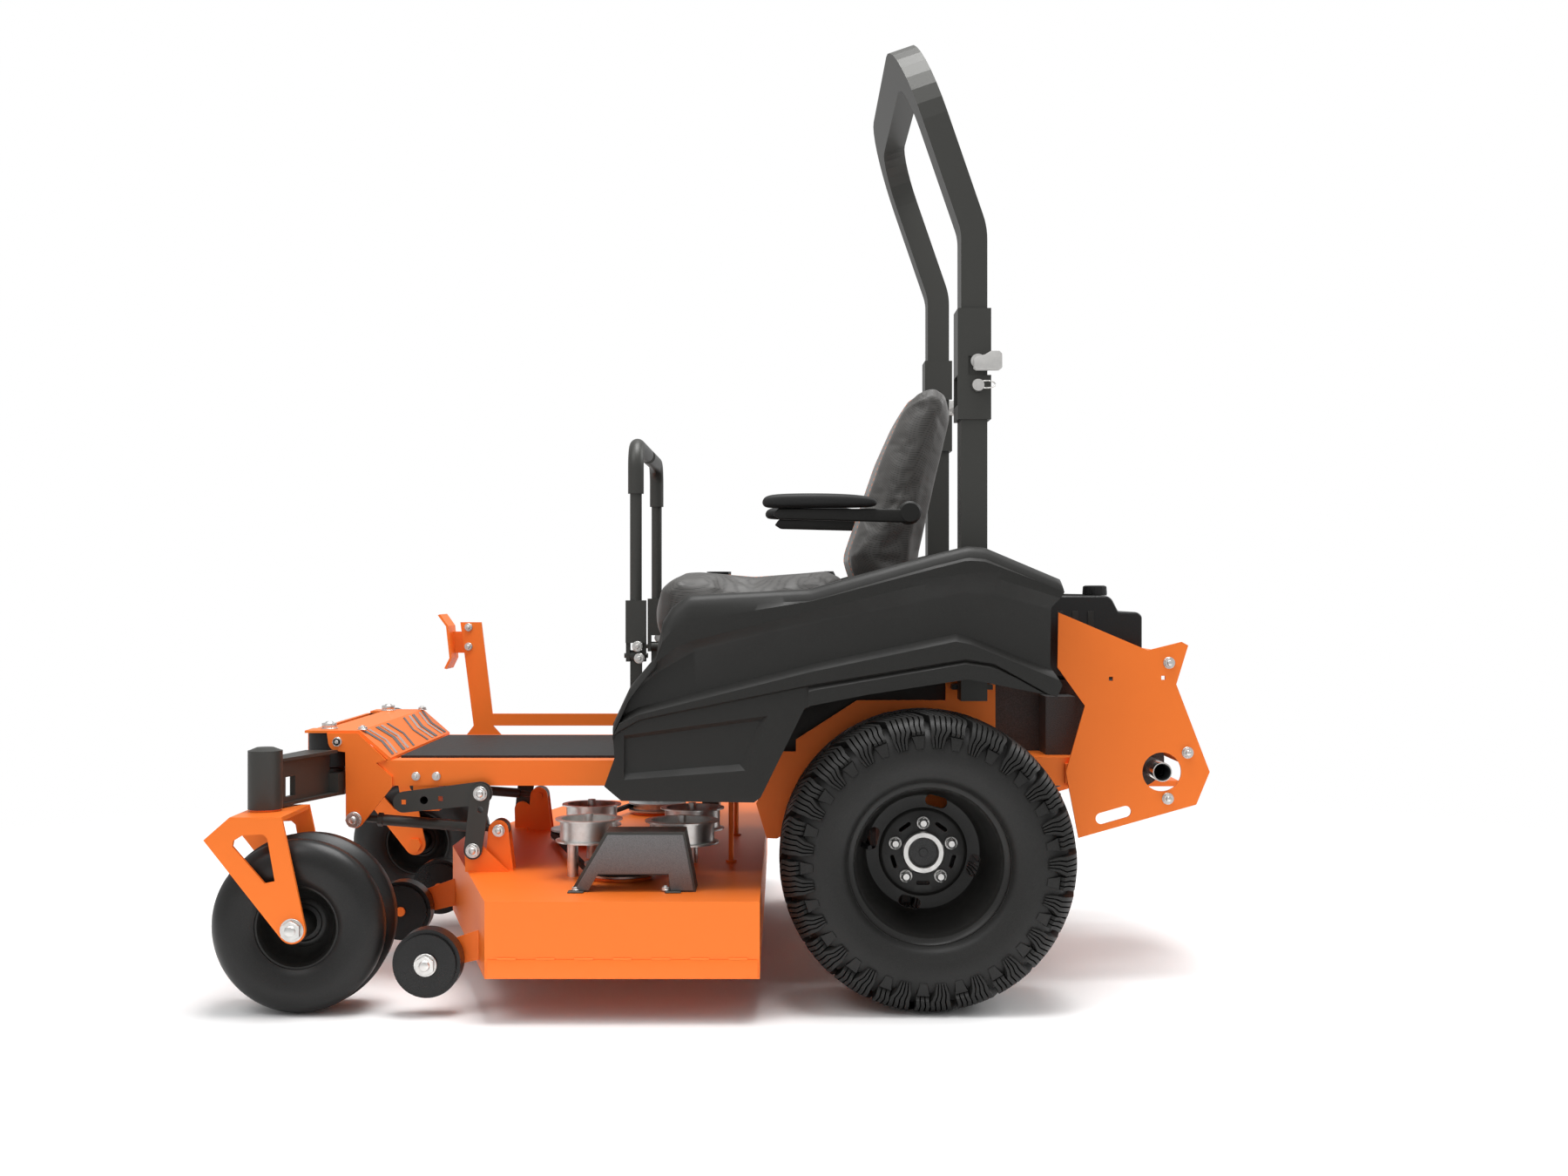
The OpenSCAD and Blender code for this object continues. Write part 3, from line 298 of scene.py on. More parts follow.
@dataclass(frozen=True)
class PowderCoat:
    """Glossy powder paint with a faint orange peel and thin dust in its tone."""

    name: str
    colour: Colour
    roughness: float = 0.26
    peel: float = 0.05

    def material(self) -> bpy.types.Material:
        """Builds the paint."""
        sheet = Shader(self.name)
        tone = sheet.noise(3.0, 4.0).ramp(0.3, 0.7)
        sheet.bump(sheet.noise(420.0, 2.0), self.peel, 0.0006)
        return sheet.finish(
            Base_Color=sheet.mix(tone, self.colour, shade(self.colour, 0.93)),
            Roughness=sheet.noise(40.0).ramp(0.3, 0.7, self.roughness - 0.04, self.roughness + 0.06),
            Specular_IOR_Level=0.35,
            Coat_Weight=0.18,
            Coat_Roughness=0.1,
        )


@dataclass(frozen=True)
class GrainedBlack:
    """Matt black with a fine moulded or sprayed grain."""

    name: str
    colour: Colour
    roughness: float
    grain: float
    relief: float
    depth: float = 0.0004
    specular: float = 0.32

    def material(self) -> bpy.types.Material:
        """Builds the grained surface."""
        skin = Shader(self.name)
        fine = skin.noise(self.grain, 2.0, 0.6)
        patches = skin.noise(9.0, 5.0).ramp(0.35, 0.7)
        skin.bump(fine * 0.7 + skin.cells(self.grain * 0.6) * 0.3, self.relief, self.depth)
        return skin.finish(
            Base_Color=skin.mix(fine.ramp(0.35, 0.65), shade(self.colour, 0.75), shade(self.colour, 1.25)),
            Roughness=patches.ramp(0.0, 1.0, self.roughness - 0.03, self.roughness + 0.05),
            Specular_IOR_Level=self.specular,
        )


@dataclass(frozen=True)
class Plated:
    """Bare or plated metal with soft clouding and fine scratches."""

    name: str
    colour: Colour
    roughness: float

    def material(self) -> bpy.types.Material:
        """Builds the metal."""
        metal = Shader(self.name)
        cloud = metal.noise(60.0, 4.0)
        metal.bump(metal.noise(900.0, 2.0), 0.05, 0.0002)
        return metal.finish(
            Base_Color=metal.mix(cloud.ramp(0.3, 0.7), self.colour, shade(self.colour, 0.86)),
            Roughness=cloud.ramp(0.25, 0.75, self.roughness, self.roughness + 0.12),
            Metallic=1.0,
        )


@dataclass(frozen=True)
class SeatVinyl:
    """Seat cover: soft vinyl, perforated in rows with painted shade in the holes, or leather grained."""

    name: str
    colour: Colour
    perforated: bool

    def material(self) -> bpy.types.Material:
        """Builds the cover."""
        cover = Shader(self.name)
        grain = cover.cells(420.0).ramp(0.1, 0.55)
        relief = grain * 0.6 + cover.noise(900.0) * 0.4
        tone = cover.noise(14.0, 4.0).ramp(0.3, 0.7)
        colour = cover.mix(tone, self.colour, shade(self.colour, 0.85))
        if self.perforated:
            _, across, up = cover.axes()
            row = FULL_TURN / 0.0048
            dots = ((across * row).sine() * (up * row).sine()).ramp(0.35, 0.8)
            relief = relief * 0.3 - dots
            # the holes are darkened to 0.3 of the vinyl: painted shade inside the perforations
            colour = cover.mix(dots, self.colour, shade(self.colour, 0.3))
        cover.bump(relief, 0.35, 0.0006)
        return cover.finish(Base_Color=colour, Roughness=tone.ramp(0, 1, 0.46, 0.56), Sheen_Weight=0.15)


@dataclass(frozen=True)
class TreadMat:
    """Moulded floor mat with crossing diamond ribs, their crests lightened as a painted highlight."""

    name: str
    colour: Colour

    def material(self) -> bpy.types.Material:
        """Builds the mat."""
        mat = Shader(self.name)
        along, across, _ = mat.axes()
        turn = FULL_TURN / 0.055
        first = abs(((along + across) * turn).sine())
        second = abs(((along - across) * turn).sine())
        ribs = (1 - first).highest(1 - second).ramp(0.75, 0.95)
        mat.bump(ribs + mat.noise(700.0) * 0.1, 0.8, 0.0025)
        return mat.finish(
            # rib crests 1.9 times lighter than the mat: painted highlight on the raised ribs
            Base_Color=mat.mix(ribs, self.colour, shade(self.colour, 1.9)),
            Roughness=ribs.ramp(0, 1, 0.75, 0.5),
        )


ORANGE = (0.9, 0.115, 0.004)
BLACK = (0.014, 0.0137, 0.0125)


class Finish(Enum):
    """Every finish on the machine."""

    ORANGE_COAT = PowderCoat("orange_powder_coat", ORANGE)
    BLACK_COAT = GrainedBlack("black_powder_coat", (0.019, 0.0185, 0.017), 0.42, 1300.0, 0.16)
    PLASTIC = GrainedBlack("grained_black_plastic", BLACK, 0.5, 1500.0, 0.3)
    GLOSS_PLASTIC = GrainedBlack("smooth_black_plastic", (0.009, 0.009, 0.009), 0.3, 600.0, 0.06)
    RIM_BLACK = GrainedBlack("wheel_black_enamel", (0.016, 0.0155, 0.0145), 0.36, 900.0, 0.08)
    TYRE = GrainedBlack("tyre_rubber", (0.013, 0.0127, 0.012), 0.5, 800.0, 0.12)
    CASTER_RUBBER = GrainedBlack("caster_rubber", (0.011, 0.0107, 0.0103), 0.38, 700.0, 0.08)
    RUBBER = GrainedBlack("moulded_rubber", (0.016, 0.016, 0.016), 0.6, 700.0, 0.15)
    BELT = GrainedBlack("belt_rubber", (0.01, 0.01, 0.01), 0.75, 600.0, 0.3)
    ZINC = Plated("zinc_plate", (0.74, 0.73, 0.71), 0.3)
    CHROME = Plated("tail_pipe_chrome", (0.8, 0.78, 0.75), 0.14)
    CAST = GrainedBlack("dark_casting", (0.05, 0.05, 0.05), 0.5, 500.0, 0.4, 0.0008)
    STEEL = Plated("blade_steel", (0.5, 0.5, 0.5), 0.35)
    VINYL = SeatVinyl("seat_vinyl", (0.07, 0.066, 0.061), False)
    PERFORATED = SeatVinyl("seat_vinyl_perforated", (0.062, 0.059, 0.055), True)
    STITCH = GrainedBlack("orange_thread", (0.85, 0.2, 0.03), 0.6, 900.0, 0.5)
    MAT = TreadMat("floor_mat_rubber", (0.012, 0.012, 0.012))
    LIGHT_PANEL = PowderCoat("light_grey_panel", (0.55, 0.55, 0.56), 0.45)
    GREY_PANEL = GrainedBlack("grey_label_film", (0.13, 0.13, 0.132), 0.55, 1200.0, 0.3)

    def made(self) -> bpy.types.Material:
        """The finish's one material, made the first time it is asked for."""
        found = bpy.data.materials.get(self.value.name)
        return found or self.value.material()


CAD_FINISHES: dict[Finish, str] = {
    Finish.ORANGE_COAT: "frame_rails frame_crossmembers frame_side_plates toe_board floor_pan guard_plates "
    "guard_bumper caster_fork_left caster_fork_right deck_shell deck_pedal",
    Finish.BLACK_COAT: "rops_posts rops_hoop axle_arm_left axle_arm_right lever_mount_left lever_mount_right "
    "lever_left lever_right lift_bellcranks push_rods hanger_links seat_platform clutch_pulley belt_covers",
    Finish.PLASTIC: "fender_left fender_right seat_deck engine_shroud armrest_left armrest_right",
    Finish.GLOSS_PLASTIC: "height_knob roller_left roller_right roller_center_left roller_center_right",
    Finish.RIM_BLACK: "drive_rim_left drive_rim_right caster_rim_left caster_rim_right",
    Finish.TYRE: "drive_tyre_left drive_tyre_right",
    Finish.CASTER_RUBBER: "caster_tyre_left caster_tyre_right",
    Finish.RUBBER: "axle_isolators discharge_chute",
    Finish.BELT: "deck_belt",
    Finish.ZINC: "frame_bolts idler_pulleys rops_pin_left rops_pin_right",
    Finish.STEEL: "spindle_left spindle_center spindle_right",
    Finish.CAST: "engine_block transaxles muffler",
    Finish.VINYL: "seat_cushion seat_back",
    Finish.MAT: "floor_mat",
}


def dress_cad() -> None:
    """Gives every CAD node its finish."""
    for finish, names in CAD_FINISHES.items():
        for name in names.split():
            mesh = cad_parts[name].data
            mesh.materials.clear()
            mesh.materials.append(finish.made())
    LOG.info("dressed %d CAD nodes", sum(len(names.split()) for names in CAD_FINISHES.values()))


# ---------------------------------------------------------------- stage


@dataclass
class Studio:
    """White room, fading floor, soft light and the camera."""

    station: float = 0.0
    distance: float = 3940.0
    height: float = 792.0
    focal_px: float = 2064.0
    image_width: float = 1800.0
    sensor: float = 36.0
    floor_side: float = 60.0
    ambient: float = 0.62
    fade: tuple[float, float] = (1.7, 3.2)

    def build(self) -> None:
        """Makes the camera, lights, backdrop colour and floor."""
        self.camera()
        self.light("key_softbox", (-2.6, -3.0, 4.4), 2.6, 70.0)
        self.light("top_softbox", (0.3, -0.7, 4.6), 2.4, 190.0)
        self.light("rear_softbox", (3.4, 0.8, 2.8), 2.0, 60.0)
        world = bpy.data.worlds.new("pale_room")
        bpy.context.scene.world = world
        world.use_nodes = True
        tree = world.node_tree
        tree.nodes["Background"].inputs["Color"].default_value = (1.0, 1.0, 1.0, 1)
        seen = Value(tree, tree.nodes.new("ShaderNodeLightPath").outputs["Is Camera Ray"])
        strength = seen * (1.0 - self.ambient) + self.ambient
        tree.links.new(strength.out, tree.nodes["Background"].inputs["Strength"])
        form = Form()
        form.block(Vector((-1, -1, -0.5)) * self.floor_side / 2, Vector((1, 1, 0)) * self.floor_side / 2)
        floor = form.piece("floor", Finish.LIGHT_PANEL)
        floor.data.materials[0] = self.floor_material()
        bpy.context.scene.view_settings.view_transform = "Standard"

    def floor_material(self) -> bpy.types.Material:
        """Matt white floor paint that fades out away from the machine."""
        paint = Shader("floor_paint")
        length = paint.node("ShaderNodeVectorMath", {"operation": "LENGTH"}, {"Vector": paint.coords})
        reach = Value(paint.tree, length.outputs["Value"])
        return paint.finish(
            Base_Color=paint.mix(paint.noise(2.0), (0.93, 0.93, 0.93), (0.95, 0.95, 0.95)),
            Roughness=0.9,
            Alpha=reach.ramp(*self.fade, 1.0, 0.0),
        )

    def camera(self) -> None:
        """Level camera square to the machine's left side."""
        data = bpy.data.cameras.new("camera")
        data.sensor_width = self.sensor
        data.lens = self.focal_px / self.image_width * self.sensor
        camera = bpy.data.objects.new("camera", data)
        bpy.context.scene.collection.objects.link(camera)
        camera.location = at(self.station, -self.distance, self.height)
        camera.rotation_euler = (math.pi / 2, 0, 0)
        bpy.context.scene.camera = camera

    def light(self, name: str, place: tuple[float, float, float], size: float, watts: float) -> None:
        """One square area light aimed at the machine's middle.

        Args:
            name: the light's name.
            place: where it hangs, in metres.
            size: its side in metres.
            watts: its power.
        """
        data = bpy.data.lights.new(name, "AREA")
        data.size = size
        data.energy = watts
        lamp = bpy.data.objects.new(name, data)
        bpy.context.scene.collection.objects.link(lamp)
        lamp.location = place
        aim = Vector((0, -0.2, 0.6)) - lamp.location
        lamp.rotation_euler = aim.to_track_quat("-Z", "Y").to_euler()


# ---------------------------------------------------------------- mesh tools


class Form:
    """A mesh being shaped with bmesh operators, in metres in the row frame."""

    def __init__(self) -> None:
        """Starts empty."""
        self.bm = bmesh.new()

    def _moved(self, verts: Iterable[bmesh.types.BMVert], matrix: Matrix) -> list[bmesh.types.BMVert]:
        """Transforms fresh vertices and hands them back as a list."""
        made = list(verts)
        bmesh.ops.transform(self.bm, matrix=matrix, verts=made)
        return made

    def block(self, low: Vector, high: Vector) -> list[bmesh.types.BMVert]:
        """A box between two corners."""
        made = bmesh.ops.create_cube(self.bm, size=1)["verts"]
        scale = Matrix.Diagonal((*(abs(b - a) for a, b in zip(low, high)), 1))
        return self._moved(made, Matrix.Translation((Vector(low) + Vector(high)) / 2) @ scale)

    def rod(
        self, start: Vector, end: Vector, radius: float, tip: float | None = None, sides: int = 32
    ) -> list[bmesh.types.BMVert]:
        """A round bar or cone between two points.

        Args:
            start: centre of its first end.
            end: centre of its last end.
            radius: radius at the start.
            tip: radius at the end, or the same.
            sides: how many sides it has.

        Returns:
            Its vertices.
        """
        run = end - start
        made = bmesh.ops.create_cone(
            self.bm, cap_ends=True, segments=sides, radius1=radius,
            radius2=radius if tip is None else tip, depth=run.length,
        )["verts"]
        turn = run.to_track_quat("Z", "Y").to_matrix().to_4x4()
        return self._moved(made, Matrix.Translation((start + end) / 2) @ turn)

    def lathe(
        self, profile: Sequence[tuple[float, float]], centre: Vector, axis: Vector, steps: int = 96
    ) -> None:
        """Spins a profile of (radius, height) in millimetres about an axis.

        Args:
            profile: the points, from one end to the other.
            centre: where height 0 lies on the axis.
            axis: unit direction of the axis.
            steps: sides of the turned shape.
        """
        out = axis.orthogonal().normalized()
        verts = [self.bm.verts.new(centre + out * (r * MM) + axis * (h * MM)) for r, h in profile]
        edges = [self.bm.edges.new(pair) for pair in zip(verts, verts[1:])]
        bmesh.ops.spin(
            self.bm, geom=verts + edges, cent=centre, axis=axis, angle=FULL_TURN, steps=steps,
            use_merge=True, use_duplicate=False,
        )
        bmesh.ops.remove_doubles(self.bm, verts=self.bm.verts, dist=1e-6)

    def slab(self, outline: Sequence[Vector], thickness: Vector) -> list[bmesh.types.BMVert]:
        """A flat outline given a thickness.

        Args:
            outline: corners in order, all in one plane.
            thickness: how far and which way it is extruded.

        Returns:
            All its vertices.
        """
        face = self.bm.faces.new([self.bm.verts.new(point) for point in outline])
        grown = bmesh.ops.extrude_face_region(self.bm, geom=[face])["geom"]
        top = [item for item in grown if isinstance(item, bmesh.types.BMVert)]
        bmesh.ops.translate(self.bm, verts=top, vec=thickness)
        return top + list(face.verts)

    def loft(self, rings: Sequence[Sequence[Vector]]) -> None:
        """Skins matching rings of points and closes both ends.

        Args:
            rings: cross-sections in order, each with as many points.
        """
        loops = [[self.bm.verts.new(point) for point in ring] for ring in rings]
        for near, far in zip(loops, loops[1:]):
            for i in range(len(near)):
                self.bm.faces.new((near[i - 1], near[i], far[i], far[i - 1]))
        for loop in (loops[0], loops[-1]):
            self.bm.faces.new(loop)

    def bevel(self, width: float, segments: int = 2, angle: float = 30.0) -> None:
        """Rounds every edge sharper than an angle.

        Args:
            width: bevel width in millimetres.
            segments: steps across the bevel.
            angle: least angle between faces, in degrees.
        """
        self.tidy()
        limit = math.radians(angle)
        edges = [e for e in self.bm.edges if e.is_manifold and e.calc_face_angle(0.0) > limit]
        bmesh.ops.bevel(
            self.bm, geom=edges, offset=width * MM, segments=segments, profile=0.5,
            affect="EDGES", material=-1, clamp_overlap=True,
        )

    def tidy(self) -> None:
        """Merges doubles and points every face outwards."""
        bmesh.ops.remove_doubles(self.bm, verts=self.bm.verts, dist=1e-6)
        bmesh.ops.recalc_face_normals(self.bm, faces=self.bm.faces)

    def piece(self, name: str, finish: Finish, sharp: float = 35.0) -> bpy.types.Object:
        """Turns the form into a finished object.

        Args:
            name: the piece's name.
            finish: its finish.
            sharp: edges sharper than this many degrees stay crisp.

        Returns:
            The object, at the origin.
        """
        self.tidy()
        mesh = bpy.data.meshes.new(name)
        self.bm.to_mesh(mesh)
        self.bm.free()
        mesh.polygons.foreach_set("use_smooth", [True] * len(mesh.polygons))
        mesh.set_sharp_from_angle(angle=math.radians(sharp))
        mesh.materials.append(finish.made())
        thing = bpy.data.objects.new(name, mesh)
        bpy.context.scene.collection.objects.link(thing)
        return thing


def settle(piece: bpy.types.Object, body: str, slot: str, *stands_for: str) -> bpy.types.Object:
    """Rides a piece on its body and hides the CAD nodes it replaces.

    Args:
        piece: the finished piece.
        body: the CAD body it rides on.
        slot: the record's material slot; not used.
        stands_for: CAD nodes that it replaces.

    Returns:
        The piece.
    """
    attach(piece, body)
    if stands_for:
        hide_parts(*stands_for)
    return piece


def applied(piece: bpy.types.Object) -> bpy.types.Object:
    """Bakes a piece's modifiers into its mesh."""
    graph = bpy.context.evaluated_depsgraph_get()
    mesh = bpy.data.meshes.new_from_object(piece.evaluated_get(graph), depsgraph=graph)
    piece.modifiers.clear()
    piece.data = mesh
    return piece


def drilled(piece: bpy.types.Object, cutter: bpy.types.Object) -> bpy.types.Object:
    """Cuts one object out of another and removes the cutter.

    Args:
        piece: what is cut.
        cutter: the shape that is taken away.

    Returns:
        The cut piece.
    """
    cut = piece.modifiers.new("cut", "BOOLEAN")
    cut.operation = "DIFFERENCE"
    cut.solver = "EXACT"
    cut.object = cutter
    bpy.context.view_layer.update()
    applied(piece)
    bpy.data.objects.remove(cutter)
    return piece



# ---------------------------------------------------------------- curves

Line = Sequence[tuple[float, float]]


def cross(line: Line, x: float) -> float:
    """Height of a polyline at x, held level beyond its ends.

    Args:
        line: (x, height) points with x rising.
        x: where to read it.

    Returns:
        The height there.
    """
    for (x0, z0), (x1, z1) in zip(line, line[1:]):
        if x <= x1:
            share = max(0.0, (x - x0) / (x1 - x0))
            return z0 + (z1 - z0) * share
    return line[-1][1]


def arc(cx: float, cz: float, radius: float, start: float, end: float, steps: int) -> list[tuple[float,
    float]]:
    """Points along an arc, both ends included.

    Args:
        cx: centre's first coordinate.
        cz: centre's second coordinate.
        radius: its radius.
        start: first angle, in degrees.
        end: last angle, in degrees.
        steps: how many chords.

    Returns:
        The points.
    """
    turns = [math.radians(start + (end - start) * i / steps) for i in range(steps + 1)]
    return [(cx + radius * math.cos(a), cz + radius * math.sin(a)) for a in turns]


def stadium(length: float, width: float) -> list[tuple[float, float]]:
    """Outline of a slot with round ends, its length along the first axis."""
    run = (length - width) / 2
    return arc(run, 0, width / 2, -90, 90, 10) + arc(-run, 0, width / 2, 90, 270, 10)


def side_points(points: Line, y: float) -> list[Vector]:
    """An outline seen from the side, set at one distance from the centre plane."""
    return [at(x, y, z) for x, z in points]


# ---------------------------------------------------------------- wheels


@dataclass
class Wheel:
    """A wheel on an axle across the machine."""

    side: Side

    @property
    def centre(self) -> Vector:
        """The wheel's middle."""
        return middle(f"{self.kind}_tyre_{self.side.word}")

    @property
    def out(self) -> Vector:
        """Unit direction away from the machine."""
        return Vector((0, self.side.value, 0))

    @property
    def body(self) -> str:
        """The CAD body the wheel turns with."""
        return f"{self.kind}_wheel_{self.side.word}"

    def spot(self, radius: float, angle: float, height: float) -> Vector:
        """A point on the wheel.

        Args:
            radius: millimetres from the axle.
            angle: degrees from the rear, rising.
            height: millimetres outward from the wheel's middle.

        Returns:
            The point in metres.
        """
        turn = math.radians(angle)
        ray = Vector((math.cos(turn), 0, math.sin(turn)))
        return self.centre + ray * (radius * MM) + self.out * (height * MM)

    def turned(self, name: str, profile: Line, finish: Finish, steps: int = 96) -> bpy.types.Object:
        """A piece spun about the axle from (radius, height) points."""
        form = Form()
        form.lathe(profile, self.centre, self.out, steps)
        return form.piece(f"{name}_{self.side.word}", finish)


@dataclass
class DriveWheel(Wheel):
    """Lugged drive wheel: tyre, dished steel rim, hub ring and lug bolts."""

    kind: str = "drive"
    pitches: int = 21
    bolt_circle: float = 57.0
    block_lag: float = 9.6
    slit: float = 0.17
    slope: float = 0.14
    crest: Line = ((0.0, 279.4), (0.3, 278.8), (0.48, 276.5), (0.63, 269.0), (0.78, 254.0), (0.9, 238.0),
        (1.0, 219.0))
    crest_out: Line = ((0.0, 2.0), (0.3, 60.0), (0.48, 98.0), (0.63, 121.0), (0.78, 134.5), (0.9, 139.0),
        (1.0, 139.8))
    root: Line = ((0.0, 267.0), (0.3, 266.0), (0.48, 262.0), (0.63, 253.0), (0.78, 241.0), (0.9, 230.0),
        (1.0, 217.0))
    root_out: Line = ((0.0, 2.0), (0.3, 56.0), (0.48, 91.0), (0.63, 111.0), (0.78, 124.0), (0.9, 130.0),
        (1.0, 134.5))

    def build(self) -> None:
        """Makes every piece of the wheel."""
        self.tyre()
        self.rim()
        self.hardware()

    def tyre(self) -> None:
        """Carcass with raised lugs on both shoulders."""
        half = [
            (153, 112), (158, 121), (166, 127.5), (171, 128.5), (176, 131.5), (190, 135.5), (203, 136.5),
            (217, 135),
            (230, 130.5), (241, 124), (253, 111), (262, 91), (266, 56), (267, 10),
        ]
        inner = [(258, 10), (252, 80), (228, 114), (200, 120), (160, 108)]
        ring = half + [(r, -h) for r, h in reversed(half)] + [(r, -h) for r, h in reversed(inner)]
        ring += inner + [half[0]]
        carcass = self.turned("drive_carcass", ring, Finish.TYRE)
        settle(carcass, self.body, "tyre", f"drive_tyre_{self.side.word}")
        lugs = Form()
        pitch = 360.0 / self.pitches
        for index in range(self.pitches):
            for face, shift in ((1, 0.0), (-1, 0.5)):
                start = (index + shift) * pitch
                self.long_lug(lugs, start, face)
                self.shoulder_block(lugs, start + self.block_lag, face)
        settle(lugs.piece(f"drive_lugs_{self.side.word}", Finish.TYRE, 40), self.body, "tyre")

    def strip(
        self, form: Form, stops: Line, face: int, low: Callable, high: Callable, rise: float = 1.0
    ) -> None:
        """One raised rib of rubber from the crown towards the sidewall.

        Args:
            form: where it is built.
            stops: shares of the way from crown to sidewall.
            face: 1 on the outer half of the tyre, -1 on the inner.
            low: first edge's angle at a share, in degrees.
            high: last edge's angle at a share.
            rise: how much of the full lug height it has.
        """
        rings = []
        for s in stops:
            base = (cross(self.root, s) - 1.5, cross(self.root_out, s) - 1.0)
            full = (cross(self.crest, s), cross(self.crest_out, s))
            top = [b + (f - b) * rise for b, f in zip(base, full)]
            rings.append([
                self.spot(base[0], low(s), face * base[1]),
                self.spot(top[0], low(s) + self.slope, face * top[1]),
                self.spot(top[0], high(s) - self.slope, face * top[1]),
                self.spot(base[0], high(s), face * base[1]),
            ])
        form.loft(rings)

    def ribs(
        self, form: Form, stops: Line, face: int, start: float, count: int, width: Callable, sweep: Callable
    ) -> None:
        """A lug cut by sipes into ribs side by side.

        Args:
            form: where it is built.
            stops: shares of the way from crown to sidewall.
            face: 1 on the outer half, -1 on the inner.
            start: the lug's middle angle, in degrees.
            count: how many ribs.
            width: the whole lug's width at a share, in degrees.
            sweep: how far its middle has turned at a share.
        """
        for i in range(count):
            def edge(s: float, share: float, trim: float) -> float:
                return start + sweep(s) + width(s) * (share - 0.5) + trim

            self.strip(
                form, stops, face,
                lambda s, i=i: edge(s, i / count, self.slit),
                lambda s, i=i: edge(s, (i + 1) / count, -self.slit),
            )

    def long_lug(self, form: Form, start: float, face: int) -> None:
        """Wide lug with three sipes and a pointed inner end."""
        stops = (0.0, 0.12, 0.25, 0.38, 0.5, 0.6, 0.7, 0.8, 0.9, 1.0)
        self.ribs(
            form, stops, face, start, 4,
            lambda s: 8.8 if s < 0.82 else 8.8 - 20.0 * (s - 0.82),
            lambda s: 14.0 * max(0.0, 0.55 - s) + 0.35 * math.sin(s * 22.0) + 3.0 * max(0.0, s - 0.75),
        )

    def shoulder_block(self, form: Form, start: float, face: int) -> None:
        """Narrow shoulder block with a stepped chevron foot."""
        stops = (0.16, 0.3, 0.42, 0.52, 0.62, 0.72, 0.82)
        self.ribs(
            form, stops, face, start, 3, lambda s: 6.4 - 1.2 * max(0.0, s - 0.6),
            lambda s: 14.0 * max(0.0, 0.55 - s) + 0.3 * math.sin(s * 20.0),
        )
        foot = 0.84
        self.strip(
            form, (foot, 0.9, 0.95, 1.0), face,
            lambda s: start - 3.0 + 6 * (s - foot), lambda s: start + 3.0 - 8 * (s - foot), 0.55,
        )

    def rim(self) -> None:
        """Dished rim with its rolled lip, step ring, vents and plateau."""
        profile = [
            (167.5, 112), (167.9, 115.5), (165.5, 117.8), (160, 117.4), (156.5, 113), (154, 104), (149, 97.5),
            (141, 94.5), (138, 90), (136, 80), (133, 60), (128, 20), (121, -20), (116, -43), (110, -50.5),
            (98, -52),
            (86, -51.5), (82, -47.5), (79, -46.5), (31.5, -46.5), (31.5, -60), (99, -60), (113, -58), (120,
            -48),
            (125, -20), (132, 20), (137, 60), (140, 82), (144, 90.5), (149, 92), (149, -118), (167.5, -118),
            (167.5, -113), (152.5, -113), (152.5, 112), (167.5, 112),
        ]
        rim = self.turned("drive_rim", profile, Finish.RIM_BLACK, 128)
        cutter = Form()
        for radius, first, turns, length, width in ((101, 75, 4, 44, 22), (60, 54, 5, 27, 8)):
            for i in range(turns):
                angle = first + i * 360 / turns
                rise = self.spot(radius, angle, -80)
                tangent = (self.spot(radius, angle + 90, 0) - self.centre).normalized()
                radial = (self.spot(radius, angle, 0) - self.centre).normalized()
                outline = [rise + tangent * (a * MM) + radial * (b * MM) for a, b in stadium(length, width)]
                cutter.slab(outline, self.out * (60 * MM))
        rim = drilled(rim, cutter.piece("cutter", Finish.RIM_BLACK))
        shaded(rim)
        settle(rim, self.body, "black_powder_coat", f"drive_rim_{self.side.word}")

    def hardware(self) -> None:
        """Zinc hub ring and lug bolts, dark hub cap and the valve."""
        ring = [(28, -47), (28, -34), (30, -32), (38.5, -32), (41, -34.5), (41, -47), (28, -47)]
        settle(self.turned("hub_ring", ring, Finish.ZINC, 64), self.body, "zinc_steel")
        cap = [(0.01, -46), (0.01, -38), (8, -38), (9, -40), (27.5, -41), (28.3, -46), (0.01, -46)]
        settle(self.turned("hub_cap", cap, Finish.CAST, 48), self.body, "cast_aluminium")
        bolts = Form()
        for i in range(5):
            angle = 18 + 72 * i
            seat = self.spot(self.bolt_circle, angle, -47)
            bolts.rod(seat, seat + self.out * 0.004, 0.0135, 0.0125, 24)
            bolts.rod(seat + self.out * 0.0035, seat + self.out * 0.016, 0.0112, sides=6)
            bolts.rod(seat + self.out * 0.016, seat + self.out * 0.019, 0.0098, 0.006, 24)
        bolts.bevel(0.6, 1, 45)
        settle(bolts.piece(f"lug_bolts_{self.side.word}", Finish.ZINC), self.body, "zinc_steel")
        valve = Form()
        root = self.spot(122, 171, -16)
        lean = (self.out * 2 - (root - self.centre).normalized()).normalized()
        valve.rod(root, root + lean * 0.022, 0.0058, 0.0045, 20)
        valve.rod(root + lean * 0.022, root + lean * 0.034, 0.0048, 0.0044, 20)
        settle(valve.piece(f"valve_{self.side.word}", Finish.RUBBER), self.body, "rubber")


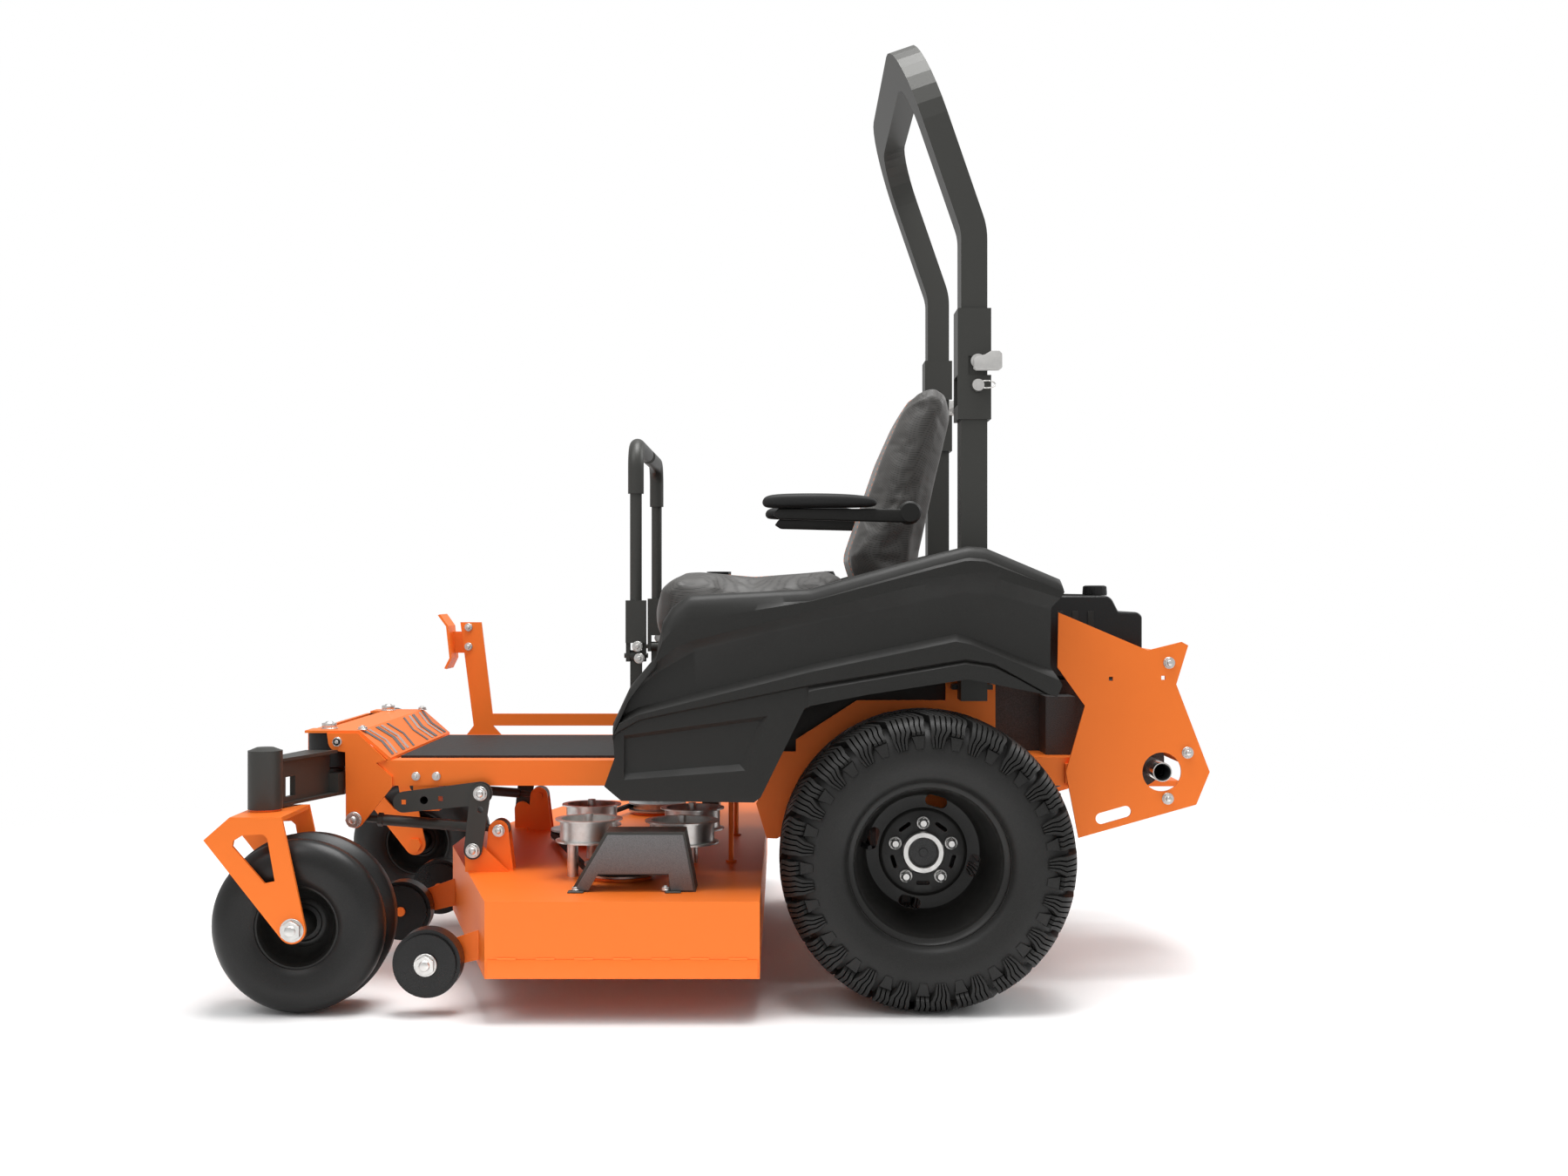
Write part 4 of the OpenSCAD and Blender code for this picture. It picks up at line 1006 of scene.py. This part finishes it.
@dataclass
class CasterWheel(Wheel):
    """Smooth caster wheel: fine ribbed tyre on a small dished rim."""

    kind: str = "caster"
    ribs_half: float = 36.0
    shoulder_r: float = 44.0
    crown_r: float = 130.0
    groove: float = 2.2

    def build(self) -> None:
        """Makes the tyre and the rim."""
        radius, half, bead = 164.8, 82.3, 76.2
        side = [(bead, half - 19), (bead + 2, half - 11), (bead + 8, half - 6.5), (bead + 16, half - 3)]
        round_off = self.shoulder_r
        for turn in range(-8, 70, 9):
            angle = math.radians(turn)
            side.append((radius + round_off * (math.sin(angle) - 1),
                half + round_off * (math.cos(angle) - 1)))
        crown = []
        for i in range(25):
            h = self.ribs_half * (1 - i / 12)
            dip = self.groove if i % 2 else 0.0
            crown.append((radius - self.crown_r + math.sqrt(self.crown_r**2 - h**2) - dip, h))
        hollow = [(bead + 14, -half + 24), (radius - 45, -half + 18), (radius - 20, -half + 48)]
        ring = side + crown + [(r, -h) for r, h in reversed(side)]
        ring += hollow + [(r, -h) for r, h in reversed(hollow)] + [side[0]]
        tyre = self.turned("caster_tyre", ring, Finish.CASTER_RUBBER)
        settle(tyre, self.body, "tyre", f"caster_tyre_{self.side.word}")
        face = [(76, 64.4), (82, 64.6), (82.4, 67), (80, 68.4), (74, 67.5), (71, 63), (69, 50), (64, 33),
            (56, 22), (46, 17),
                (42, 20), (36, 20.5), (33, 17), (26, 19), (26, 90), (12.6, 90)]
        whole = face + [(r, -h) for r, h in reversed(face)] + [face[0]]
        rim = self.turned("caster_rim", whole, Finish.RIM_BLACK, 72)
        settle(rim, self.body, "black_powder_coat", f"caster_rim_{self.side.word}")


# ---------------------------------------------------------------- bodywork


@dataclass
class Fender:
    """Moulded fender: stepped, creased outer skin on the plain inner shell."""

    side: Side
    depth: float = 580.0
    skin: float = 538.0
    outline: Line = (
        (-181, 778), (50, 790), (281, 855), (346, 871), (379, 868), (521, 808), (527, 784), (503, 755),
        (501, 645),
        (522, 610), (512, 588), (346, 621), (156, 592), (50, 571), (38, 565), (-44, 399), (-56, 390),
        (-305, 393),
        (-337, 420), (-318, 473), (-323, 535), (-290, 606), (-240, 665), (-230, 726), (-211, 756),
    )
    crown: Line = (
        (-345, 440), (-323, 535), (-290, 606), (-240, 672), (-230, 726), (-211, 756), (-181, 778), (50,
        790), (281, 855),
        (346, 871), (379, 868), (521, 808), (535, 790),
    )
    shoulder: Line = ((-345, 560), (-237, 664), (-201, 694), (21, 753), (340, 833), (376, 832), (528, 782),
        (535, 778))
    undercut: Line = ((-345, 545), (-237, 637), (-169, 676), (21, 720), (340, 785), (405, 779), (503, 753),
        (535, 742))
    ridge: Line = ((-345, 528), (-272, 563), (50, 643), (322, 700), (352, 694), (512, 629), (535, 618))
    foot: Line = ((-345, 505), (-269, 548), (50, 612), (340, 660), (393, 652), (517, 583), (535, 575))
    arch: Line = ((-345, 395), (38, 396), (46, 571), (62, 575), (340, 623), (382, 617), (517, 587), (535,
        580))

    def across(self, x: float, y: float, z: float) -> Vector:
        """A station on this side of the machine."""
        return at(x, self.side.value * y, z)

    def column(self, x: float) -> list[Vector]:
        """Points down the outer face at one station, then back up its rear."""
        top, mid, low = cross(self.crown, x), cross(self.shoulder, x), cross(self.undercut, x)
        ridge, foot, arch = cross(self.ridge, x), cross(self.foot, x), cross(self.arch, x)
        lip = 579.5 if x > 42 else 571.5
        rows = [
            (top + 30, 540), (top + 1, 544), (top - 4, 555), (top - 11, 561), (top - 22, 565), (mid + 5,
            578.5),
            (mid + 1, 580), (mid - 3, 578), (low + 3, 558), (low - 3, 555), (ridge + 5, 556), (ridge - 1,
            564),
            (ridge - 7, 571), (ridge - 15, 576.5), (foot + 8, 579.8), (foot + 2, 577), (foot - 5, 566),
            (arch + 30, 569), (arch + 17, lip), (arch, lip), (360, lip),
        ]
        level = rows[0][0] + 1
        points = []
        for z, y in rows:
            level = min(level - 0.4, z)
            points.append(self.across(x, y, level))
        return points + [self.across(x, self.skin, level), self.across(x, self.skin, rows[0][0])]

    def build(self) -> None:
        """Makes the sculpted skin and keeps the CAD shell behind it."""
        stations = [-345 + 9 * i for i in range(42)] + [38, 41.5, 42.5, 46] + [52 + 9 * i for i in range(54)]
        relief = Form()
        relief.loft([self.column(x) for x in stations])
        blank = relief.piece(f"fender_skin_{self.side.word}", Finish.PLASTIC)
        border = Form()
        border.slab([self.across(x, self.skin - 6, z) for x, z in self.outline],
            Vector((0, self.side.value * 0.04, 0)))
        keeper = border.piece("keeper", Finish.PLASTIC)
        combined(blank, keeper, "INTERSECT")
        pocket = Form()
        outer = [(-300, 521), (-18, 559), (-68, 445), (-300, 428)]
        inner = [(-300, 508), (-45, 543), (-84, 461), (-300, 443)]
        pocket.loft([
            [self.across(x, 590, z) for x, z in outer],
            [self.across(x, 572.5, z) for x, z in outer],
            [self.across(x, 559, z) for x, z in inner],
        ])
        skin = drilled(blank, pocket.piece("pocket", Finish.PLASTIC))
        shaded(skin, 28)
        settle(skin, "chassis", "black_plastic", f"fender_{self.side.word}")
        shell = Form()
        shell.bm.from_mesh(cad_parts[f"fender_{self.side.word}"].data)
        bmesh.ops.remove_doubles(shell.bm, verts=shell.bm.verts, dist=1e-6)
        bmesh.ops.bisect_plane(
            shell.bm, geom=[*shell.bm.verts, *shell.bm.edges, *shell.bm.faces],
            plane_co=self.across(0, self.skin + 0.5, 0), plane_no=Vector((0, self.side.value, 0)),
            clear_outer=True,
        )
        settle(shell.piece(f"fender_shell_{self.side.word}", Finish.PLASTIC), "chassis", "black_plastic")


def combined(piece: bpy.types.Object, other: bpy.types.Object, how: str) -> bpy.types.Object:
    """Joins or intersects one object with another, which is removed.

    Args:
        piece: the object that keeps the result.
        other: the second shape.
        how: the Boolean's operation.

    Returns:
        The piece.
    """
    join = piece.modifiers.new("join", "BOOLEAN")
    join.operation = how
    join.solver = "EXACT"
    join.object = other
    bpy.context.view_layer.update()
    applied(piece)
    bpy.data.objects.remove(other)
    return piece


def shaded(piece: bpy.types.Object, sharp: float = 35.0) -> None:
    """Smooth shading with crisp edges past an angle in degrees."""
    piece.data.polygons.foreach_set("use_smooth", [True] * len(piece.data.polygons))
    piece.data.set_sharp_from_angle(angle=math.radians(sharp))


@dataclass
class Shroud:
    """Engine cover with its stepped lid, side louvres and filler cap."""

    half: float = 192.0

    def build(self) -> None:
        """Makes the cover and the cap."""
        body = Form()
        outline = [(402, 605), (402, 744), (414, 762), (432, 772), (552, 776), (674, 776), (684, 770),
            (698, 742),
                   (738, 742), (747, 734), (747, 658), (733, 642), (733, 605)]
        body.slab(side_points(outline, -self.half), Vector((0, 2 * self.half * MM, 0)))
        body.bevel(7, 3, 12)
        settle(body.piece("shroud_body", Finish.GLOSS_PLASTIC), "chassis", "black_plastic", "engine_shroud")
        ribs = Form()
        for i in range(7):
            x = 440 + i * 32
            ribs.block(at(x, -194.5, 640), at(x + 14, -190, 744))
        for i in range(5):
            y = -130 + i * 58
            ribs.block(at(458, y, 774), at(640, y + 26, 779))
        for z in (656, 676, 696, 716):
            ribs.block(at(745.5, -150, z), at(749, 150, z + 9))
        ribs.bevel(1.6, 2)
        settle(ribs.piece("shroud_ribs", Finish.PLASTIC), "chassis", "black_plastic")
        cap = Form()
        base = at(660, -120, 776)
        up = Vector((0, 0, MM))
        cap.lathe([(0.01, 0), (25.5, 0), (25.8, 8), (24.5, 19.5), (20, 21.5), (0.01, 21.5)], base,
            up.normalized(), 40)
        for i in range(18):
            turn = FULL_TURN * i / 18
            ray = Vector((math.cos(turn), math.sin(turn), 0))
            cap.rod(base + ray * 0.0247 + up * 3, base + ray * 0.0237 + up * 18, 0.0016, sides=8)
        settle(cap.piece("filler_cap", Finish.GLOSS_PLASTIC), "chassis", "black_plastic")


# ---------------------------------------------------------------- seat and controls


@dataclass
class SeatPad:
    """A stuffed seat part: a crowned form puffed by cloth, then seamed and stitched."""

    name: str
    profile: Line
    half: float
    shrink: float
    seam_y: float
    probe: Callable[[float, float], tuple[Vector, Vector]]
    run: tuple[float, float]
    cap: float = 14.0

    def rings(self) -> list[list[Vector]]:
        """Cross-sections along Y, drawn in towards both ends."""
        cx = sum(x for x, _ in self.profile) / len(self.profile)
        cz = sum(z for _, z in self.profile) / len(self.profile)
        rings = []
        steps = 24
        for i in range(steps + 1):
            y = -self.half + 2 * self.half * i / steps
            edge = 1 - abs(y) / self.half
            pull = self.shrink + 22 * (1 - min(1.0, edge / 0.13)) ** 2
            ring = []
            for x, z in self.profile:
                reach = math.hypot(x - cx, z - cz)
                factor = (reach - pull) / reach
                ring.append(at(cx + (x - cx) * factor, y, cz + (z - cz) * factor))
            rings.append(ring)
        return rings

    def build(self) -> bpy.types.Object:
        """Makes the pad with its seams and stitching."""
        form = Form()
        form.loft(self.rings())
        pad = form.piece(self.name, Finish.PERFORATED)
        remesh = pad.modifiers.new("remesh", "REMESH")
        remesh.mode = "VOXEL"
        remesh.voxel_size = 0.0075
        applied(pad)
        self.puff(pad)
        smooth = pad.modifiers.new("smooth", "SUBSURF")
        smooth.levels = smooth.render_levels = 1
        applied(pad)
        self.sew(pad)
        shaded(pad, 60)
        settle(pad, "seat", "seat_vinyl", self.name.replace("_pad", ""))
        return pad

    def puff(self, pad: bpy.types.Object) -> None:
        """Swells the pad with cloth pressure, capped."""
        rest = [vert.co.copy() for vert in pad.data.vertices]
        cloth = pad.modifiers.new("cloth", "CLOTH")
        cloth.settings.use_pressure = True
        cloth.settings.uniform_pressure_force = 4
        cloth.settings.effector_weights.gravity = 0
        for index in range(1, 15):
            bpy.context.scene.frame_set(index)
        applied(pad)
        bpy.context.scene.frame_set(1)
        for vert, before in zip(pad.data.vertices, rest):
            move = vert.co - before
            if move.length > self.cap * MM:
                vert.co = before + move.normalized() * (self.cap * MM)

    def sew(self, pad: bpy.types.Object) -> None:
        """Sinks the seam channels and lays orange stitches."""
        pad.data.update()
        normals = [vert.normal.copy() for vert in pad.data.vertices]
        for vert, normal in zip(pad.data.vertices, normals):
            y = abs(vert.co.y - CENTRE_Y) / MM
            depth = 5.5 * math.exp(-(((y - self.seam_y) / 6.0) ** 2))
            vert.co -= normal * (depth * MM)
        pad.data.update()
        thread = Form()
        for side in (-1, 1):
            for offset in (-7.5, 7.5):
                self.row(pad, thread, side * (self.seam_y + offset))
        line = thread.piece(f"{self.name}_stitches", Finish.STITCH)
        settle(line, "seat", "seat_vinyl")

    def row(self, pad: bpy.types.Object, thread: Form, y: float) -> None:
        """One row of stitches pressed onto the pad's skin.

        Args:
            pad: the pad.
            thread: where the stitches are built.
            y: millimetres from the centre plane.
        """
        start, end = self.run
        count = int((end - start) / 5.5)
        marks = []
        for i in range(count + 1):
            origin, ray = self.probe(start + (end - start) * i / count, y)
            hit, place, normal, _ = pad.ray_cast(origin, ray)
            marks.append(place + normal * 0.0004 if hit else None)
        for first, second in zip(marks[::2], marks[1::2]):
            if first and second and (second - first).length > 0.001:
                thread.rod(first, second, 0.00095, sides=6)


@dataclass
class Seat:
    """Cushion and back."""

    def build(self) -> None:
        """Makes both pads."""
        SeatPad(
            name="seat_cushion_pad",
            profile=((-272, 716), (-262, 678), (-245, 670), (-215, 676), (150, 676), (155, 700), (155,
            768), (123, 818),
                     (60, 812), (-60, 806), (-180, 814), (-240, 810), (-264, 792)),
            half=246.0, shrink=5.0, seam_y=160.0,
            probe=lambda x, y: (at(x, y, 900), Vector((0, 0, -1))), run=(-250.0, 116.0),
        ).build()
        SeatPad(
            name="seat_back_pad",
            profile=((178, 692), (170, 780), (144, 850), (178, 955), (218, 1070), (255, 1150), (286, 1208),
            (318, 1217),
                     (343, 1200), (341, 1180), (305, 1020), (268, 862), (250, 692)),
            half=234.0, shrink=4.0, seam_y=150.0,
            probe=lambda z, y: (at(60, y, z), Vector((1, 0, 0))), run=(740.0, 1190.0),
        ).build()


@dataclass
class Armrest:
    """Folding armrest: moulded arm with a soft pad."""

    side: Side

    def build(self) -> None:
        """Makes the arm and the pad."""
        sign = self.side.value
        arm = Form()
        outline = [(-22, 940), (-8, 931), (190, 926), (262, 924), (272, 945), (262, 952), (-12, 953)]
        arm.slab([at(x, sign * 308, z) for x, z in outline], Vector((0, -sign * 0.022, 0)))
        arm.bevel(3, 3, 20)
        arm.lathe([(0.01, 0), (19, 0), (23, 4), (24, 12), (24, 48), (21, 56), (0.01, 58)], at(255,
            sign * 309, 945), Vector((0, -sign, 0)), 40)
        arm.lathe([(0.01, 56), (9, 56), (9, 68), (0.01, 68)], at(255, sign * 309, 945),
            Vector((0, -sign, 0)), 24)
        piece = arm.piece(f"armrest_arm_{self.side.word}", Finish.PLASTIC)
        settle(piece, f"armrest_{self.side.word}", "black_plastic", f"armrest_{self.side.word}")
        pad = Form()
        rings = []
        for x, low, high, width in (
            (-44, 963, 967, 12), (-41, 957, 974, 20), (-34, 954, 979, 24.5), (-15, 953, 982.5, 26.5), (30,
            953, 983.8, 27),
            (90, 953.5, 983.8, 27), (140, 954, 981.5, 26.5), (170, 955, 978, 25.5), (183, 957, 973, 23),
            (188, 961, 968, 16),
        ):
            tall, mid = (high - low) / 2, (high + low) / 2
            ring = []
            for step in range(20):
                turn = FULL_TURN * step / 20
                c, s = math.cos(turn), math.sin(turn)
                y = width * math.copysign(abs(c) ** 0.62, c)
                z = tall * math.copysign(abs(s) ** 0.62, s)
                ring.append(at(x, sign * (299 + y), mid + z))
            rings.append(ring)
        pad.loft(rings)
        soft = pad.piece(f"armrest_pad_{self.side.word}", Finish.RUBBER)
        smooth = soft.modifiers.new("smooth", "SUBSURF")
        smooth.levels = smooth.render_levels = 2
        applied(soft)
        shaded(soft, 60)
        settle(soft, f"armrest_{self.side.word}", "black_plastic")


@dataclass
class Latch:
    """Roll bar lock: bent zinc handle on its pin, and the ring pin below."""

    side: Side

    def build(self) -> None:
        """Makes the handle, the pin and the ring pin."""
        sign = self.side.value
        edge = 406 + 38 + 6
        handle = Form()
        outline = [(367, 1217), (372, 1213.5), (416, 1213.5), (421.5, 1219), (421.5, 1245), (416, 1250.5),
            (400, 1250.5),
                   (388, 1243), (372, 1240), (367, 1234)]
        handle.slab([at(x, sign * (edge + 2), z) for x, z in outline], Vector((0, sign * 0.003, 0)))
        handle.slab([at(x, sign * (edge + 15), z) for x, z in outline], Vector((0, sign * 0.003, 0)))
        handle.block(at(418.5, sign * (edge + 2), 1219), at(421.5, sign * (edge + 18), 1245))
        handle.bevel(0.8, 2, 40)
        start = at(376, sign * (406 - 38 - 18), 1232)
        handle.rod(start, at(376, sign * (edge + 17.5), 1232), 0.0079, sides=28)
        handle.rod(at(376, sign * (edge + 5), 1232), at(376, sign * (edge + 8), 1232), 0.014, sides=28)
        settle(
            handle.piece(f"latch_{self.side.word}", Finish.ZINC), f"rops_pin_{self.side.word}", "zinc_steel",
            f"rops_pin_{self.side.word}",
        )
        pin = Form()
        pin.rod(at(376, sign * (406 + 49), 1185), at(376, sign * (406 + 58), 1185), 0.0125, 0.0115, 28)
        ring = [at(392 + 17 * c, sign * (406 + 56), 1186 + 7 * s) for c, s in arc(0, 0, 1, 0, 345, 30)]
        for first, second in zip(ring, ring[1:]):
            pin.rod(first, second, 0.0014, sides=8)
        pin.bevel(0.6, 1, 45)
        settle(pin.piece(f"ring_pin_{self.side.word}", Finish.ZINC), "chassis", "zinc_steel")


# ---------------------------------------------------------------- hardware


@dataclass(frozen=True)
class Bolt:
    """One hexagonal head or nut facing sideways or up."""

    x: float
    y: float
    z: float
    across: float = 18.0
    height: float = 7.0
    way: tuple[float, float, float] = (0.0, -1.0, 0.0)
    both: bool = True


UP = (0.0, 0.0, 1.0)
OUT_RIGHT = (0.0, 1.0, 0.0)
BOLTS: dict[str, tuple[Bolt, ...]] = {
    "chassis": (
        Bolt(-898, -325.5, 483, 15, 6), Bolt(-863, -333.5, 327, 26, 10), Bolt(-741, -320, 413, 14, 5),
        Bolt(-700, -320, 413, 14, 5), Bolt(771.5, -338, 642, 19, 8), Bolt(808.7, -338, 462, 19, 8),
        Bolt(769, -338, 370, 19, 8), Bolt(-927, -273, 505, 28, 12, UP), Bolt(-853, -300, 505, 17, 6, UP),
    ),
    "deck": (
        Bolt(-573, -329, 304.5, 20, 8), Bolt(-607, -347, 381, 23, 9), Bolt(-622, -347, 267, 23, 9),
        Bolt(-660, -632, 98, 34, 10, both=False), Bolt(-390, -571, 226, 14, 6, UP, False),
        Bolt(-222, -571, 226, 14, 6, UP, False),
    ),
    "caster_fork_left": (Bolt(-901, -649.5, 165, 35, 13, both=False),),
    "caster_fork_right": (Bolt(-901, 649.5, 165, 35, 13, OUT_RIGHT, False),),
    "lever_left": (Bolt(-296, -312, 674, 17, 7, both=False), Bolt(-292, -312, 650, 17, 7, both=False)),
    "lever_right": (
        Bolt(-296, 312, 674, 17, 7, OUT_RIGHT, False), Bolt(-292, 312, 650, 17, 7, OUT_RIGHT, False),
    ),
    "deck_pedal": (Bolt(-738, 265, 700, 15, 6, both=False), Bolt(-738, 265, 655, 15, 6, both=False)),
}


def fit_bolts() -> None:
    """Makes the washered bolt heads of every body."""
    for body, bolts in BOLTS.items():
        form = Form()
        for bolt in bolts:
            for sign in ((1, -1) if bolt.both else (1,)):
                seat = at(bolt.x, bolt.y * sign, bolt.z)
                way = Vector((bolt.way[0], bolt.way[1] * sign, bolt.way[2]))
                size = bolt.across * MM / 2
                form.rod(seat, seat + way * 0.002, size * 1.25, sides=24)
                form.rod(seat + way * 0.0018, seat + way * (bolt.height * MM), size * 1.12, sides=6)
                tip = seat + way * (bolt.height * MM)
                form.rod(tip, tip + way * 0.003, size * 0.62, size * 0.5, 16)
        form.bevel(0.4, 1, 45)
        settle(form.piece(f"bolt_heads_{body}", Finish.ZINC), body, "zinc_steel")


# ---------------------------------------------------------------- small trim


@dataclass
class Trim:
    """Decals, tail pipe, deck seam and the panels on the belt covers."""

    def build(self) -> None:
        """Makes every trim piece."""
        self.tail_pipe()
        self.decals()
        self.cover_panels()
        self.deck_seam()

    def tail_pipe(self) -> None:
        """Polished sleeve on the end of the exhaust."""
        form = Form()
        ring = [(19.2, -70), (19.4, 0), (18.9, 1.2), (17.2, 1.2), (16.4, 0), (15.8, -70), (19.2, -70)]
        form.lathe(ring, at(757, -342, 423.5), Vector((0, -1, 0)), 64)
        settle(form.piece("tail_pipe", Finish.CHROME), "chassis", "exhaust_steel")

    def decals(self) -> None:
        """Plain chevron stripes on the sloped toe board."""
        for name, finish, stripes in (
            ("toe_stripes_dark", Finish.GREY_PANEL, ((-300, 20), (-196, 26), (-92, 16))),
            ("toe_stripes_silver", Finish.ZINC, ((-262, 16), (-152, 20))),
        ):
            form = Form()
            for sign in (1, -1):
                for y, width in stripes:
                    steps = ((0.06, 0.0), (0.5, 34.0), (0.94, 8.0))
                    edge = [self.slope(u, sign * (y + lean)) for u, lean in steps]
                    back = [self.slope(u, sign * (y + lean + width)) for u, lean in reversed(steps)]
                    form.slab(edge + back, Vector((0.66, 0, 0.75)) * 0.0007)
            settle(form.piece(name, finish), "chassis", "black_plastic")

    @staticmethod
    def slope(share: float, y: float) -> Vector:
        """A point on the toe board's sloped face, share of the way down."""
        return at(-855 + 63 * share + 0.3, y, 505 - 55 * share + 0.3)

    def cover_panels(self) -> None:
        """Raised grey face and lower lip on each belt cover."""
        for name, middle_y, sign in (("left", -405, -1), ("right", 605, 1)):
            face = Form()
            outline = [(-392, 226), (-330, 330), (-189, 330), (-169, 226), (-212, 226), (-216, 257), (-348,
                257), (-366, 226)]
            start = middle_y + sign * 170
            face.slab([at(x, start, z) for x, z in outline], Vector((0, sign * 0.0022, 0)))
            face.bevel(1.2, 2)
            settle(face.piece(f"cover_face_{name}", Finish.GREY_PANEL), "deck", "black_plastic")
            feet = Form()
            for x in (-404, -222):
                feet.block(at(x, start - sign * 4, 223.2), at(x + 30, start + sign * 16, 226))
            feet.bevel(0.8, 1)
            settle(feet.piece(f"cover_feet_{name}", Finish.BLACK_COAT), "deck", "black_powder_coat")

    def deck_seam(self) -> None:
        """Folded lower band and stitch welds along the deck's sides."""
        band = Form()
        for y, sign in ((-680, -1), (880, 1)):
            runs = ((-543, -44),) if sign < 0 else ((-543, -410),)
            for x0, x1 in runs:
                band.block(at(x0 + 4, y, 84), at(x1 - 3, y + sign * 2.2, 118))
        band.bevel(1.0, 2)
        settle(band.piece("deck_band", Finish.ORANGE_COAT), "deck", "orange_powder_coat")
        welds = Form()
        for i in range(7):
            x = -520 + i * 70
            welds.rod(at(x, -680.4, 119), at(x + 34, -680.4, 119), 0.0024, sides=10)
        settle(welds.piece("deck_welds", Finish.ORANGE_COAT), "deck", "orange_powder_coat")


def main() -> None:
    """Builds the whole picture."""
    logging.basicConfig(level=logging.INFO)
    dress_cad()
    Studio().build()
    for side in Side:
        DriveWheel(side).build()
        CasterWheel(side).build()
        Fender(side).build()
        Armrest(side).build()
        Latch(side).build()
    Shroud().build()
    Seat().build()
    Trim().build()
    fit_bolts()


if __name__ == "__main__":
    main()
